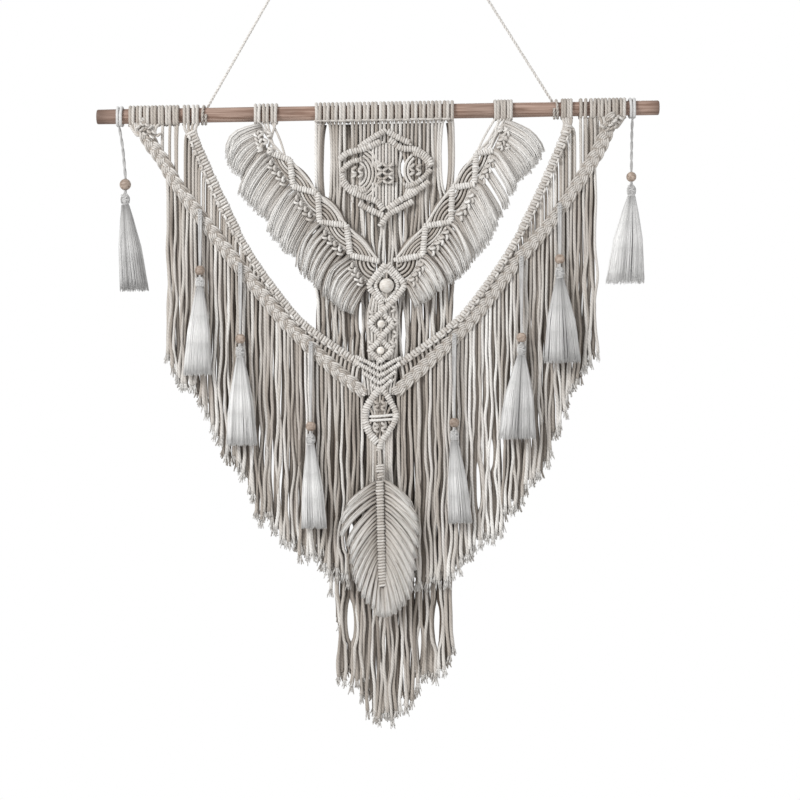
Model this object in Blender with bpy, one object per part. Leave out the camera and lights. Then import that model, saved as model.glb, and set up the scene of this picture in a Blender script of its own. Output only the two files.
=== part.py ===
"""Macrame wall hanging: a knotted cotton panel with swags, wings, tassels and a leaf, on a wooden rod.

The origin is the point where the hanging cord goes over its nail. X is to the right, Y goes back to
the wall and Z is up. The tables are in millimetres. In them x is measured from the work's own middle
line and drop is measured down from the rod's axis, so the rod's small tilt is added in one place.

Every knotted piece is one closed mesh. Its bars and knots are four-sided tubes with ridges, and its
strands are drawn out of the bars' own faces, down to the next bar or to a free end.
"""

import math
import random

import bmesh
import bpy
from mathutils import Vector

MM = 0.001
SEAT = 0.3                 # clearance between two pieces that touch

# Rod and hanging cord
ROD_LENGTH = 843.0
ROD_RADIUS = 11.0
ROD_SIDES = 20
ROD_ROUNDING = 2.0         # rounded edge of the rod's ends
ROD_MIDDLE_X = -3.0
ROD_DROP = 437.0           # rod's axis below the nail
ROD_TILT = math.radians(0.95)
WORK_X = 10.5              # the work's middle line, right of the nail
CORD_DIAMETER = 4.0
CORD_TIE_X = 267.6         # where the hanging cord leaves the rod, on each side
CORD_TURNS = 1.5           # round the rod at each end of the cord
CORD_TURN_SEGMENTS = 12
CORD_TURN_PITCH = 1.3      # in cord diameters
CORD_CLEARANCE = 0.9       # between the rod and the cord's turns
NAIL_RADIUS = 2.0          # nail that the cord bends over
NAIL_ANGLES = (140, 90, 40)                # where the cord bends on the nail, degrees
LEG_SHARES = (0.08, 0.35, 0.65, 0.92)      # points along each straight leg of the cord

# Depth of the layers, y of their middle
BACK_LAYER = -2.0
FRONT_LAYER = -14.0
FRINGE_LAYER = -12.4
COLUMN_LAYER = -17.0

# Strands and the knots that they make
PITCH = 7.2                # one strand's share of the width
STRAND_WIDTH = 6.0
STRAND_DEPTH = 4.4
FREE_END = 0.75            # width of a free end, as a share of the strand
ROOT_REACH = 3.0           # a hanging strand takes its full shape this far below its root
WRAP_SIDES = 8
WRAP_BORE = (ROD_RADIUS + SEAT) / math.cos(math.pi / WRAP_SIDES)
WRAP_LOW = 15.6            # ridged wraps round the rod, radius in the grooves
WRAP_HIGH = 17.0           # and on the ridges
BAR_WIDTH = 8.5
BAR_DEPTH = 7.0
RIDGE = 1.2                # height of a ridge on a bar
WOBBLE = 0.5               # sideways wander of a hanging strand
DEPTH_WOBBLE = 0.5         # its wander to the front and back, as a share of that
LONG_STRAND = 420.0        # past this length a strand bends once more
LINK_EASE = 2.2            # a strand between two bars takes its own shape this far from them
SHORT_LINK = 12.0          # below this length it has one ring, and not two

FRINGE_FRONT = FRINGE_LAYER - STRAND_DEPTH / 2 - DEPTH_WOBBLE * WOBBLE

# Beads and the cords that they are threaded on
BEAD_SEGMENTS = 10
BORE_RADIUS = 2.5
BEAD_CORD = 2.6            # width of the cord through a bead
LARGE_BEAD_FROM = 10.0     # from this radius a bead is turned with more steps

COTTON = (0.66, 0.63, 0.58)
COTTON_LIGHT = (0.74, 0.72, 0.69)
TASSEL_THREAD = (0.78, 0.77, 0.75)
ROD_WOOD = (0.42, 0.27, 0.20)
BEAD_WOOD = (0.58, 0.45, 0.33)
BEAD_CREAM = (0.80, 0.76, 0.68)

ACROSS_Y = Vector((0.0, 1.0, 0.0))


# ---------------------------------------------------------------- places and smooth tables

def at(x, drop, y):
    """Return the world point of a place on the work, in metres."""
    return Vector((WORK_X + x, y, math.tan(ROD_TILT) * x - ROD_DROP - drop)) * MM


def read_table(rows, x):
    """Return the second column at x, on straight lines between the rows."""
    rows = sorted(rows)
    if x <= rows[0][0]:
        return rows[0][1]
    for (x0, y0), (x1, y1) in zip(rows, rows[1:]):
        if x <= x1:
            return y0 + (y1 - y0) * (x - x0) / (x1 - x0)
    return rows[-1][1]


def smooth_table(rows, x):
    """Return the second column at x, on a curve whose slope also runs on through each row."""
    rows = sorted(rows)
    slopes = []
    for i in range(len(rows)):
        before = rows[max(i - 1, 0)]
        after = rows[min(i + 1, len(rows) - 1)]
        slopes.append((after[1] - before[1]) / (after[0] - before[0]))
    x = min(max(x, rows[0][0]), rows[-1][0])
    i = max(k for k in range(len(rows) - 1) if rows[k][0] <= x)
    span = rows[i + 1][0] - rows[i][0]
    t = (x - rows[i][0]) / span
    h00 = 2 * t ** 3 - 3 * t ** 2 + 1
    h10 = t ** 3 - 2 * t ** 2 + t
    h01 = 3 * t ** 2 - 2 * t ** 3
    h11 = t ** 3 - t ** 2
    return (h00 * rows[i][1] + h10 * span * slopes[i]
            + h01 * rows[i + 1][1] + h11 * span * slopes[i + 1])


def steps(start, stop, size):
    """Return evenly spaced values from start to stop, about size apart."""
    count = max(1, round(abs(stop - start) / size))
    return [start + (stop - start) * i / count for i in range(count + 1)]


# ---------------------------------------------------------------- drawing in a mesh

def skin(bm, ring_a, ring_b):
    """Close the side between two rings with one quad for each corner."""
    n = len(ring_a)
    return [bm.faces.new((ring_a[i], ring_a[(i + 1) % n], ring_b[(i + 1) % n], ring_b[i]))
            for i in range(n)]


class Bar:
    """A ridged four-sided bar of knots: its faces, by side, seen from the front along its run."""

    def __init__(self, bm, points, width, depth, ridge=RIDGE, closed=False):
        rings = []
        last = len(points) - 1
        for i, point in enumerate(points):
            before = points[i - 1] if closed or i else point
            after = points[(i + 1) % len(points)] if closed or i < last else point
            run = (after - before).normalized()
            left = run.cross(ACROSS_Y)
            rise = ridge if i % 2 else 0.0
            half = (width(i) if callable(width) else width) / 2 * MM
            front = Vector((0.0, -(depth / 2 + rise) * MM, 0.0))
            back = Vector((0.0, depth / 2 * MM, 0.0))
            corners = (point + left * half + front, point - left * half + front,
                       point - left * half + back, point + left * half + back)
            rings.append([bm.verts.new(corner) for corner in corners])
        pairs = list(zip(rings, rings[1:]))
        if closed:
            pairs.append((rings[-1], rings[0]))
        sides = [skin(bm, a, b) for a, b in pairs]
        self.front = [side[0] for side in sides]
        self.right = [side[1] for side in sides]
        self.back = [side[2] for side in sides]
        self.left = [side[3] for side in sides]
        if not closed:
            self.start = bm.faces.new(list(reversed(rings[0])))
            self.end = bm.faces.new(rings[-1])


def wrap(bm, x0, x1):
    """Wind a ridged sleeve round the rod from x0 to x1 and return the faces along its underside."""
    outer = []
    stations = steps(x0, x1, PITCH)
    for i, x in enumerate(stations):
        outer.append(wrap_ring(bm, x, WRAP_HIGH if i % 2 else WRAP_LOW))
    inner = [wrap_ring(bm, x, WRAP_BORE) for x in (stations[0], stations[-1])]
    under = []
    for a, b in zip(outer, outer[1:]):
        under.append(skin(bm, a, b)[3])
    skin(bm, list(reversed(inner[0])), list(reversed(inner[1])))
    skin(bm, inner[0], outer[0])
    skin(bm, outer[-1], inner[1])
    return under


def wrap_ring(bm, x, radius):
    """Return the corners of a wrap round the rod at x, from its upper front, downwards."""
    ring = []
    for k in range(WRAP_SIDES):
        angle = math.radians(67.5) - k * math.tau / WRAP_SIDES
        ring.append(bm.verts.new(at(x, -radius * math.sin(angle), -radius * math.cos(angle))))
    return ring


def corner_signs(verts, centre, first, across):
    """Return on which side of the centre each corner lies, along first and along across."""
    return [(1 if (v.co - centre).dot(first) > 0 else -1,
             1 if (v.co - centre).dot(across) > 0 else -1) for v in verts]


def strand(bm, root, path, size, across=ACROSS_Y, landing=None, widths=None):
    """Draw a strand out of the face root along path, to a free end or into the face landing.

    size is the strand's width and its depth along across. widths gives each ring its own width.
    """
    root.normal_update()
    centre = root.calc_center_median()
    loop = list(root.verts)
    signs = corner_signs(loop, centre, root.normal.cross(across), across)
    bm.faces.remove(root)
    points = [centre] + path
    if landing:
        landing.normal_update()
        points.append(landing.calc_center_median())
    for j in range(1, len(path) + 1):
        after = points[min(j + 1, len(points) - 1)]
        first = (after - points[j - 1]).cross(across).normalized()
        width = widths[j - 1] if widths else size[0]
        ring = [bm.verts.new(points[j] + first * (su * width / 2 * MM)
                             + across * (sv * size[1] / 2 * MM)) for su, sv in signs]
        skin(bm, loop, ring)
        loop = ring
    if not landing:
        bm.faces.new(loop)
        return
    ends = list(landing.verts)
    found = corner_signs(ends, points[-1], (-landing.normal).cross(across), across)
    skin(bm, loop, [ends[found.index(sign)] for sign in signs])
    bm.faces.remove(landing)


def hang(bm, root, x, top, bottom, y, chance):
    """Let a strand hang from the face root at x, from drop top to drop bottom, a little unevenly."""
    count = 2 if bottom - top < LONG_STRAND else 3
    path = [at(x, top, y)]
    for i in range(1, count + 1):
        drop = top + (bottom - top) * i / count
        sway = chance.uniform(-WOBBLE, WOBBLE)
        path.append(at(x + sway, drop, y + DEPTH_WOBBLE * sway))
    widths = [STRAND_WIDTH] * count + [STRAND_WIDTH * FREE_END]
    strand(bm, root, path, (STRAND_WIDTH, STRAND_DEPTH), widths=widths)


def link(bm, root, landing, y):
    """Run a strand straight from the face root down into the face landing."""
    highest = max(v.co.z for v in landing.verts) + LINK_EASE * MM
    lowest = min(v.co.z for v in root.verts) - LINK_EASE * MM
    start = root.calc_center_median()
    end = landing.calc_center_median()
    if lowest > highest + SHORT_LINK * MM:
        path = [Vector((start.x, y * MM, lowest)), Vector((end.x, y * MM, highest))]
    else:
        path = [Vector(((start.x + end.x) / 2, y * MM, (start.z + end.z) / 2))]
    strand(bm, root, path, (STRAND_WIDTH * 0.9, STRAND_DEPTH), landing=landing)


def drop_of(point):
    """Return how far a world point lies below the rod's axis, in millimetres."""
    x = point.x / MM - WORK_X
    return math.tan(ROD_TILT) * x - ROD_DROP - point.z / MM


def foot_of(face):
    """Return the drop of a face's lowest corner."""
    return max(drop_of(v.co) for v in face.verts)


def x_of(face):
    """Return a face's place across the work, in millimetres."""
    return face.calc_center_median().x / MM - WORK_X


def take_nearest(faces, x):
    """Take the face nearest to x out of the list."""
    face = min(faces, key=lambda item: abs(x_of(item) - x))
    faces.remove(face)
    return face


def make_object(name, bm, colour, roughness=0.9, smooth=False):
    """Turn a mesh into a named object with a material of its own."""
    bmesh.ops.triangulate(bm, faces=bm.faces[:])
    mesh = bpy.data.meshes.new(name)
    bm.to_mesh(mesh)
    bm.free()
    if smooth:
        mesh.shade_smooth()
        mesh.set_sharp_from_angle(angle=math.radians(40))
    obj = bpy.data.objects.new(name, mesh)
    finish_object(obj, colour, roughness)
    return obj


def finish_object(obj, colour, roughness):
    """Give an object its material and put it in the scene."""
    material = bpy.data.materials.new(obj.name)
    material.use_nodes = True
    shader = material.node_tree.nodes["Principled BSDF"]
    shader.inputs["Base Color"].default_value = (*colour, 1.0)
    shader.inputs["Roughness"].default_value = roughness
    shader.inputs["Metallic"].default_value = 0.0
    obj.data.materials.append(material)
    bpy.context.scene.collection.objects.link(obj)


# ---------------------------------------------------------------- rod and hanging cord

def make_rod():
    """Turn the wooden rod, with its ends a little rounded."""
    bm = bmesh.new()
    half = ROD_LENGTH / 2
    profile = ((-half, ROD_RADIUS - ROD_ROUNDING), (-half + ROD_ROUNDING, ROD_RADIUS),
               (half - ROD_ROUNDING, ROD_RADIUS), (half, ROD_RADIUS - ROD_ROUNDING))
    rings = []
    for along, radius in profile:
        ring = []
        for k in range(ROD_SIDES):
            angle = -k * math.tau / ROD_SIDES
            y = -radius * math.cos(angle)
            ring.append(bm.verts.new(at(ROD_MIDDLE_X + along, -radius * math.sin(angle), y)))
        rings.append(ring)
    for a, b in zip(rings, rings[1:]):
        skin(bm, a, b)
    bm.faces.new(list(reversed(rings[0])))
    bm.faces.new(rings[-1])
    make_object("rod", bm, ROD_WOOD, roughness=0.55, smooth=True)


def cord_turns(side):
    """Return the cord's turn and a half round the rod, from its tail to where it leaves upwards."""
    radius = ROD_RADIUS + CORD_DIAMETER / 2 + CORD_CLEARANCE
    points = []
    for k in range(int(CORD_TURNS * CORD_TURN_SEGMENTS) + 1):
        turn = k / CORD_TURN_SEGMENTS
        angle = math.tau * (turn - 0.5)
        x = side * (CORD_TIE_X - (CORD_TURNS - turn) * CORD_DIAMETER * CORD_TURN_PITCH)
        points.append(at(x, -radius * math.cos(angle), radius * math.sin(angle)))
    return points


def make_hanging_cord():
    """Run the cord from its turns round the rod up over the nail and down to the other side."""
    left = cord_turns(-1)
    right = cord_turns(1)
    top = []
    for degrees in NAIL_ANGLES:
        angle = math.radians(degrees)
        reach = NAIL_RADIUS + CORD_DIAMETER / 2
        top.append(Vector((reach * math.cos(angle), 0.0, reach * math.sin(angle) - NAIL_RADIUS)) * MM)
    leg = [left[-1].lerp(top[0], share) for share in LEG_SHARES]
    other = [top[-1].lerp(right[-1], share) for share in LEG_SHARES]
    points = left + leg + top + other + list(reversed(right))
    curve = bpy.data.curves.new("hanging_cord", "CURVE")
    curve.dimensions = "3D"
    curve.bevel_depth = CORD_DIAMETER / 2 * MM
    curve.bevel_resolution = 2
    curve.use_fill_caps = True
    spline = curve.splines.new("POLY")
    spline.points.add(len(points) - 1)
    for item, point in zip(spline.points, points):
        item.co = (*point, 1.0)
    obj = bpy.data.objects.new("hanging_cord", curve)
    finish_object(obj, COTTON, 0.9)


# ---------------------------------------------------------------- centre panel

CENTRE_LEFT = -98.0
CENTRE_RIGHT = 111.0
CENTRE_SLITS = (1, 27)     # strands left out, where the side pairs stand apart
CENTRE_RAGGED = 9.0        # how unevenly the strands end
CENTRE_ENDS = ((-98, 700), (-72, 742), (-60, 850), (-40, 868), (-22, 905), (5, 920), (30, 908),
               (52, 865), (90, 858), (112, 815))

# Chevron bars of the rosette, from the top: x and drop along the bar's middle line
UPPER_CHEVRONS = (((-62, 70), (7, 22), (76, 80)), ((-56, 84), (7, 41), (70, 90)))
LOWER_CHEVRONS = (((-58, 110), (8, 146), (76, 104)), ((-34, 138), (5, 160), (62, 122)))
# Woven lozenges between them: middle x, drop, half width, height in the middle and at the ends
EYES = ((-36, 91, 15, 30, 10), (7, 93, 8, 30, 10), (50, 93, 15, 30, 10))


def column_edges():
    """Return the edges of the centre panel's strands, from left to right."""
    return steps(CENTRE_LEFT, CENTRE_RIGHT, PITCH)


def rosette_bars(bm, edges):
    """Knot the rosette and return, for each column, its bars from the top down."""
    columns = {i: [] for i in range(len(edges) - 1)}
    for rows in UPPER_CHEVRONS:
        add_chevron(bm, edges, columns, rows)
    for middle, drop, half, tall, low in EYES:
        add_bar(bm, edges, columns, middle - half, middle + half, lambda x: drop,
                lambda x: tall - (tall - low) * min(1, abs(x - middle) / half))
    for rows in LOWER_CHEVRONS:
        add_chevron(bm, edges, columns, rows)
    return columns


def add_chevron(bm, edges, columns, rows):
    """Lay one chevron bar of the rosette along its rows."""
    add_bar(bm, edges, columns, rows[0][0], rows[-1][0],
            lambda x: read_table(rows, x), lambda x: BAR_WIDTH)


def add_bar(bm, edges, columns, x0, x1, drop_at, width_at):
    """Lay one bar on the strands' edges between x0 and x1 and list it in their columns."""
    inside = [i for i, x in enumerate(edges) if x0 <= x <= x1]
    points = [at(edges[i], drop_at(edges[i]), BACK_LAYER) for i in inside]
    widths = [width_at(edges[i]) for i in inside]
    bar = Bar(bm, points, lambda i: widths[i], BAR_DEPTH)
    for cell, i in enumerate(inside[:-1]):
        columns[i].append((bar.left[cell], bar.right[cell]))


def make_centre_panel():
    """Knot the long panel behind everything: wraps, rosette and the longest fringe."""
    chance = random.Random(11)
    bm = bmesh.new()
    edges = column_edges()
    under = wrap(bm, edges[0], edges[-1])
    columns = rosette_bars(bm, edges)
    for i, root in enumerate(under):
        if i in CENTRE_SLITS:
            continue
        for upper, lower in columns[i]:
            link(bm, root, upper, BACK_LAYER)
            root = lower
        x = (edges[i] + edges[i + 1]) / 2
        top = foot_of(root) + ROOT_REACH
        bottom = read_table(CENTRE_ENDS, x) + chance.uniform(-CENTRE_RAGGED, CENTRE_RAGGED)
        hang(bm, root, x, top, bottom, BACK_LAYER, chance)
    make_object("centre_panel", bm, COTTON)


# ---------------------------------------------------------------- swags at the sides

# Middle lines of the bands: distance from the work's middle line, drop
LEFT_OUTER_BAND = ((362, 27), (342, 44), (306, 105), (230, 207), (150, 303), (78, 375), (22, 422))
RIGHT_OUTER_BAND = ((352, 27), (335, 51), (310, 90), (258, 168), (199, 237), (137, 315), (22, 422))
INNER_BAND = ((282, 26), (270, 56), (238, 128), (196, 209), (139, 289), (104, 325), (30, 378))
# Width of the bands: distance from the middle line, width
OUTER_WIDTHS = ((22, 15.5), (196, 16), (240, 19), (362, 19))
INNER_WIDTHS = ((30, 12), (190, 12), (236, 15), (282, 15))
WEB_FROM = 198.0           # strands run between the two bands from here outwards
BAND_DEPTH = 9.0
LEFT_SWAG_WRAP = (-376.0, -270.0)
RIGHT_SWAG_WRAP = (270.0, 368.0)
FRINGE_FROM = 39.0         # nearest strand of the side fringe to the middle line
FRINGE_TO = 322.0
WRAP_WEB = (340, 326, 312, 298)    # strands from the wraps to the outer band
SIDE_RAGGED = 7.0
# How far down the side fringe ends: distance from the middle line, drop
LEFT_ENDS = ((0, 715), (70, 705), (106, 676), (148, 652), (178, 619), (200, 565), (230, 512),
             (262, 445), (298, 404), (320, 378))
RIGHT_ENDS = ((0, 728), (97, 719), (130, 690), (163, 644), (187, 623), (214, 604), (241, 558),
              (258, 530), (268, 475), (295, 435), (312, 413), (320, 384))


def band_bar(bm, rows, widths, side):
    """Lay a band along its table, one strand to a cell, from left to right."""
    stations = steps(max(rows)[0], min(rows)[0], PITCH)
    if side > 0:
        stations.reverse()
    points = [at(side * x, smooth_table(rows, x), FRONT_LAYER) for x in stations]
    return Bar(bm, points, lambda i: read_table(widths, stations[i]), BAND_DEPTH)


def make_side(name, side, band, ends, edges, seed):
    """Knot one swag: wraps on the rod, the braided outer band, the ribbed inner one and the fringe."""
    chance = random.Random(seed)
    bm = bmesh.new()
    under = wrap(bm, *edges)
    outer = band_bar(bm, band, OUTER_WIDTHS, side)
    inner = band_bar(bm, INNER_BAND, INNER_WIDTHS, side)
    first = "start" if side < 0 else "end"
    for bar, x in ((outer, band[0][0]), (inner, INNER_BAND[0][0])):
        root = take_nearest(under, side * x)
        link(bm, root, getattr(bar, first), FRONT_LAYER / 2)
    tops = list(outer.left)
    low = [face for face in inner.right if abs(x_of(face)) > WEB_FROM]
    for root in low[::2]:
        link(bm, root, take_nearest(tops, x_of(root)), FRINGE_LAYER)
    for distance in WRAP_WEB:
        root = take_nearest(under, side * distance)
        link(bm, root, take_nearest(tops, side * distance), FRINGE_LAYER)
    for root in outer.right:
        x = x_of(root)
        if FRINGE_FROM < abs(x) < FRINGE_TO:
            top = foot_of(root) + ROOT_REACH
            bottom = read_table(ends, abs(x)) + chance.uniform(-SIDE_RAGGED, SIDE_RAGGED)
            hang(bm, root, x, top, bottom, FRINGE_LAYER, chance)
    make_object(name, bm, COTTON)


# ---------------------------------------------------------------- wings

# Zigzag bar of each wing from the rod to the middle: x, drop
LEFT_ZIGZAG = ((-178, 26), (-168, 58), (-134, 71), (-130, 111), (-93, 121), (-90, 164), (-50, 170),
               (-44, 215), (1, 224))
RIGHT_ZIGZAG = ((188, 26), (168, 62), (144, 66), (141, 112), (108, 116), (106, 167), (68, 173),
                (64, 216), (19, 224.2))
# Ends of the tufts: x and drop of the outer and the inner end
LEFT_TUFTS = (((-228, 62), (-203, 104)), ((-206, 122), (-166, 164)), ((-162, 178), (-122, 222)),
              ((-119, 230), (-82, 270)), ((-80, 273), (-44, 302)))
RIGHT_TUFTS = (((240, 72), (202, 104)), ((190, 168), (172, 176)), ((160, 186), (136, 226)),
               ((132, 230), (100, 262)), ((94, 262), (56, 292)))
LEFT_WING_WRAP = (-189.0, -153.0)
RIGHT_WING_WRAP = (170.0, 199.0)
WING_CELL = 8.0
LOCK_DEPTH = 5.0
LOCK_ROOT = 6.4            # width of a tuft's lock where it leaves the bar
LOCK_SHARE = 0.84          # width of a combed lock, as a share of the room that it has
WIDEST_LOCK = 13.0
TUFT_LOCKS = 5
# Where a tuft's lock bends: its share of the way, and its reach out and up, as shares of the span
TUFT_BEND = (0.45, 0.22, 0.1)
ARC_ROOTS = (0, 2)         # cells of the bar that the arcs leave, counted from its end
ARC_BOW = 0.35             # how far an arc's middle bows to the corner of its cell
ARC_EASE = 0.3             # and its ends


def zigzag_cells(points):
    """Cut the zigzag into cells and return its points and the number of cells in each run."""
    fine = [points[0]]
    counts = []
    for a, b in zip(points, points[1:]):
        inner = steps(0.0, 1.0, WING_CELL / math.dist(a, b))[1:]
        fine += [(a[0] + (b[0] - a[0]) * t, a[1] + (b[1] - a[1]) * t) for t in inner]
        counts.append(len(inner))
    return fine, counts


def run_faces(faces, counts):
    """Split a bar's faces into the runs of the zigzag."""
    runs = []
    start = 0
    for count in counts:
        runs.append(faces[start:start + count])
        start += count
    return runs


def lock_widths(paths, near):
    """Return the widths of neighbouring locks, so that they nearly meet along their length."""
    result = []
    for k, path in enumerate(paths):
        widths = [near]
        for j in range(1, len(path)):
            run = (path[j] - path[j - 1]).normalized()
            other = paths[k + 1] if k + 1 < len(paths) else paths[k - 1]
            apart = (other[j] - path[j]).cross(run).length / MM
            widths.append(min(LOCK_SHARE * apart, WIDEST_LOCK))
        result.append(widths)
    return result


def tuft(bm, roots, outer, inner):
    """Comb locks out of the faces in roots, ending between the points outer and inner."""
    paths = []
    for k, root in enumerate(roots):
        root.normal_update()
        end = Vector(outer).lerp(Vector(inner), k / (len(roots) - 1))
        start = root.calc_center_median()
        tip = at(end[0], end[1], FRONT_LAYER)
        share, out, up = TUFT_BEND
        bend = start.lerp(tip, share)
        bend.x += (tip.x - start.x) * out
        bend.z += abs(tip.x - start.x) * up
        near = start + root.normal * LINK_EASE * MM
        paths.append([Vector((p.x, FRONT_LAYER * MM, p.z)) for p in (near, bend, tip)])
    for root, path, widths in zip(roots, paths, lock_widths(paths, LOCK_ROOT)):
        strand(bm, root, path, (LOCK_ROOT, LOCK_DEPTH), widths=widths)


def make_wing(name, side, zigzag, tufts, edges):
    """Knot one wing of the V: its wraps, the zigzag bar, the arcs inside it and the tufts."""
    bm = bmesh.new()
    under = wrap(bm, *edges)
    fine, counts = zigzag_cells(zigzag)
    if side > 0:
        fine.reverse()
        counts.reverse()
    bar = Bar(bm, [at(x, drop, FRONT_LAYER) for x, drop in fine], BAR_WIDTH, BAR_DEPTH)
    outside = run_faces(bar.right, counts)
    inside = run_faces(bar.left, counts)
    if side > 0:
        outside = [list(reversed(run)) for run in reversed(outside)]
        inside = [list(reversed(run)) for run in reversed(inside)]
    head = bar.start if side < 0 else bar.end
    link(bm, take_nearest(under, zigzag[0][0]), head, FRONT_LAYER / 2)
    for root in under[-2:] if side < 0 else under[:2]:
        link(bm, root, inside[1].pop(len(inside[1]) // 2), FRONT_LAYER)
    for down, across in ((2, 3), (4, 5), (6, 7)):
        make_arcs(bm, inside[down], inside[across])
    for k, (outer, inner) in enumerate(tufts):
        roots = outside[2 * k - 1][:TUFT_LOCKS] if k else outside[0][1:]
        tuft(bm, roots, outer, inner)
    make_object(name, bm, COTTON_LIGHT)


def make_arcs(bm, down, across):
    """Bow strands from an upright run of the zigzag to the level run below it."""
    for k in ARC_ROOTS:
        root = down[k]
        landing = across[len(across) - 1 - k]
        start = root.calc_center_median()
        end = landing.calc_center_median()
        corner = Vector((end.x, start.y, start.z))
        middle = start.lerp(end, 0.5).lerp(corner, ARC_BOW)
        near = start.lerp(corner, ARC_EASE)
        far = end.lerp(corner, ARC_EASE)
        path = [Vector((p.x, FRONT_LAYER * MM, p.z)) for p in (near, middle, far)]
        strand(bm, root, path, (STRAND_WIDTH * 0.8, STRAND_DEPTH), landing=landing)


# ---------------------------------------------------------------- centre column and its beads

# Rings of the column, from the top: middle x, drop, half width, half height
RINGS = {
    "lozenge": (10.0, 261.0, 26.0, 33.0),
    "upper_loop": (2.0, 318.0, 17.0, 17.5),
    "lower_loop": (1.0, 357.5, 16.0, 15.0),
    "diamond": (-1.0, 457.0, 30.0, 41.0),
}
# A quarter of a ring from the top to the right: x and height, as shares of the half sizes
LOZENGE_QUARTER = ((0.16, 1.0), (0.50, 0.70), (0.83, 0.36), (1.0, 0.0))
LOOP_QUARTER = ((0.30, 1.0), (0.90, 0.52), (1.0, 0.0))
LOZENGES = ("lozenge", "diamond")
RING_WIDTH = 7.5
RING_DEPTH = 7.0
# V-shaped bars under the column: reach of an arm, drop of its end, drop of the point
VEES = ((29.2, 379.4, 391.0), (24.0, 397.0, 408.0))
VEE_SHARES = (1.0, 0.7, 0.38, 0.12)
VEE_MIDDLE_X = 0.0
VEE_WIDTH = 8.0
SHORT_CORD = 5.0           # width of the short cords between the knots
CROSS_CORD = (4.0, 0.6)    # cord across the diamond: its depth and the reach of its middle part
DIAMOND_FRINGE = 700.0     # how far down the strands under the diamond end
DIAMOND_RAGGED = 12.0
BIG_BEAD_RADIUS = 11.0
SMALL_BEAD_RADIUS = 6.0


def ring_points(quarter, x, drop, half, tall):
    """Return the corners of a ring, clockwise from the cell at its top."""
    right = list(quarter) + [(reach, -height) for reach, height in reversed(quarter[:-1])]
    outline = right + [(-reach, height) for reach, height in reversed(right)]
    return [at(x + half * reach, drop - tall * height, COLUMN_LAYER) for reach, height in outline]


def short_link(bm, root, landing):
    """Join two facing knots of the column."""
    middle = root.calc_center_median().lerp(landing.calc_center_median(), 0.5)
    middle.y = COLUMN_LAYER * MM
    strand(bm, root, [middle], (SHORT_CORD, SHORT_CORD), landing=landing)


def cross(bm, root, landing):
    """Run a cord from one side of the diamond to the other."""
    start = root.calc_center_median()
    end = landing.calc_center_median()
    depth, reach = CROSS_CORD
    path = [start.lerp(end, 0.5 - reach / 2), start.lerp(end, 0.5 + reach / 2)]
    strand(bm, root, path, (SHORT_CORD, depth), landing=landing)


def threaded(bm, ring):
    """Run the strand that carries a bead down through the middle of a ring."""
    root = ring.right[-1]
    landing = ring.right[len(ring.right) // 2 - 1]
    top = root.calc_center_median()
    foot = landing.calc_center_median()
    path = [top.lerp(foot, share) for share in (LEG_SHARES[0], LEG_SHARES[-1])]
    strand(bm, root, path, (BEAD_CORD, BEAD_CORD), landing=landing)


def make_column():
    """Knot the chain of rings and Vs, hang the diamond's strands and return the drop of its foot."""
    chance = random.Random(5)
    bm = bmesh.new()
    rings = {}
    for name, values in RINGS.items():
        quarter = LOZENGE_QUARTER if name in LOZENGES else LOOP_QUARTER
        rings[name] = Bar(bm, ring_points(quarter, *values), RING_WIDTH, RING_DEPTH, closed=True)
    vees = []
    for reach, end_drop, point_drop in VEES:
        shares = [-share for share in VEE_SHARES] + list(reversed(VEE_SHARES))
        points = [at(VEE_MIDDLE_X + reach * share, point_drop - (point_drop - end_drop) * abs(share),
                     COLUMN_LAYER) for share in shares]
        vees.append(Bar(bm, points, VEE_WIDTH, RING_DEPTH))
    chain = (rings["lozenge"], rings["upper_loop"], rings["lower_loop"])
    for above, below in zip(chain, chain[1:]):
        short_link(bm, above.left[len(above.left) // 2 - 1], below.left[-1])
    middle = len(VEE_SHARES) - 1
    loop, diamond = rings["lower_loop"], rings["diamond"]
    short_link(bm, loop.left[len(loop.left) // 2 - 1], vees[0].left[middle])
    short_link(bm, vees[0].right[middle], vees[1].left[middle])
    short_link(bm, vees[1].right[middle], diamond.left[-1])
    for ring in chain:
        threaded(bm, ring)
    bottom = len(diamond.left) // 2 - 1
    lower_right, lower_left = bottom - 3, bottom + 3
    cross(bm, diamond.right[lower_left], diamond.right[lower_right])
    foot = foot_of(diamond.left[bottom])
    for cell in (bottom - 2, bottom - 1, bottom + 1, bottom + 2):
        root = diamond.left[cell]
        bottom_drop = DIAMOND_FRINGE + chance.uniform(-DIAMOND_RAGGED, DIAMOND_RAGGED)
        hang(bm, root, x_of(root), foot_of(root) + ROOT_REACH, bottom_drop, FRINGE_LAYER, chance)
    make_object("centre_column", bm, COTTON_LIGHT)
    return foot


def make_bead(name, x, drop, y, radius, colour):
    """Turn a bead with a bore for its cord."""
    bm = bmesh.new()
    edge = math.acos(BORE_RADIUS / radius)
    bands = 4 if radius < LARGE_BEAD_FROM else 6
    profile = []
    for k in range(bands + 1):
        rise = edge * (2 * k / bands - 1)
        profile.append((radius * math.cos(rise), radius * math.sin(rise)))
    centre = at(x, drop, y)
    rings = []
    for reach, height in profile:
        ring = []
        for k in range(BEAD_SEGMENTS):
            angle = k * math.tau / BEAD_SEGMENTS
            offset = Vector((reach * math.cos(angle), reach * math.sin(angle), height)) * MM
            ring.append(bm.verts.new(centre + offset))
        rings.append(ring)
    for a, b in zip(rings, rings[1:] + rings[:1]):
        skin(bm, a, b)
    make_object(name, bm, colour, roughness=0.6, smooth=True)


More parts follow.
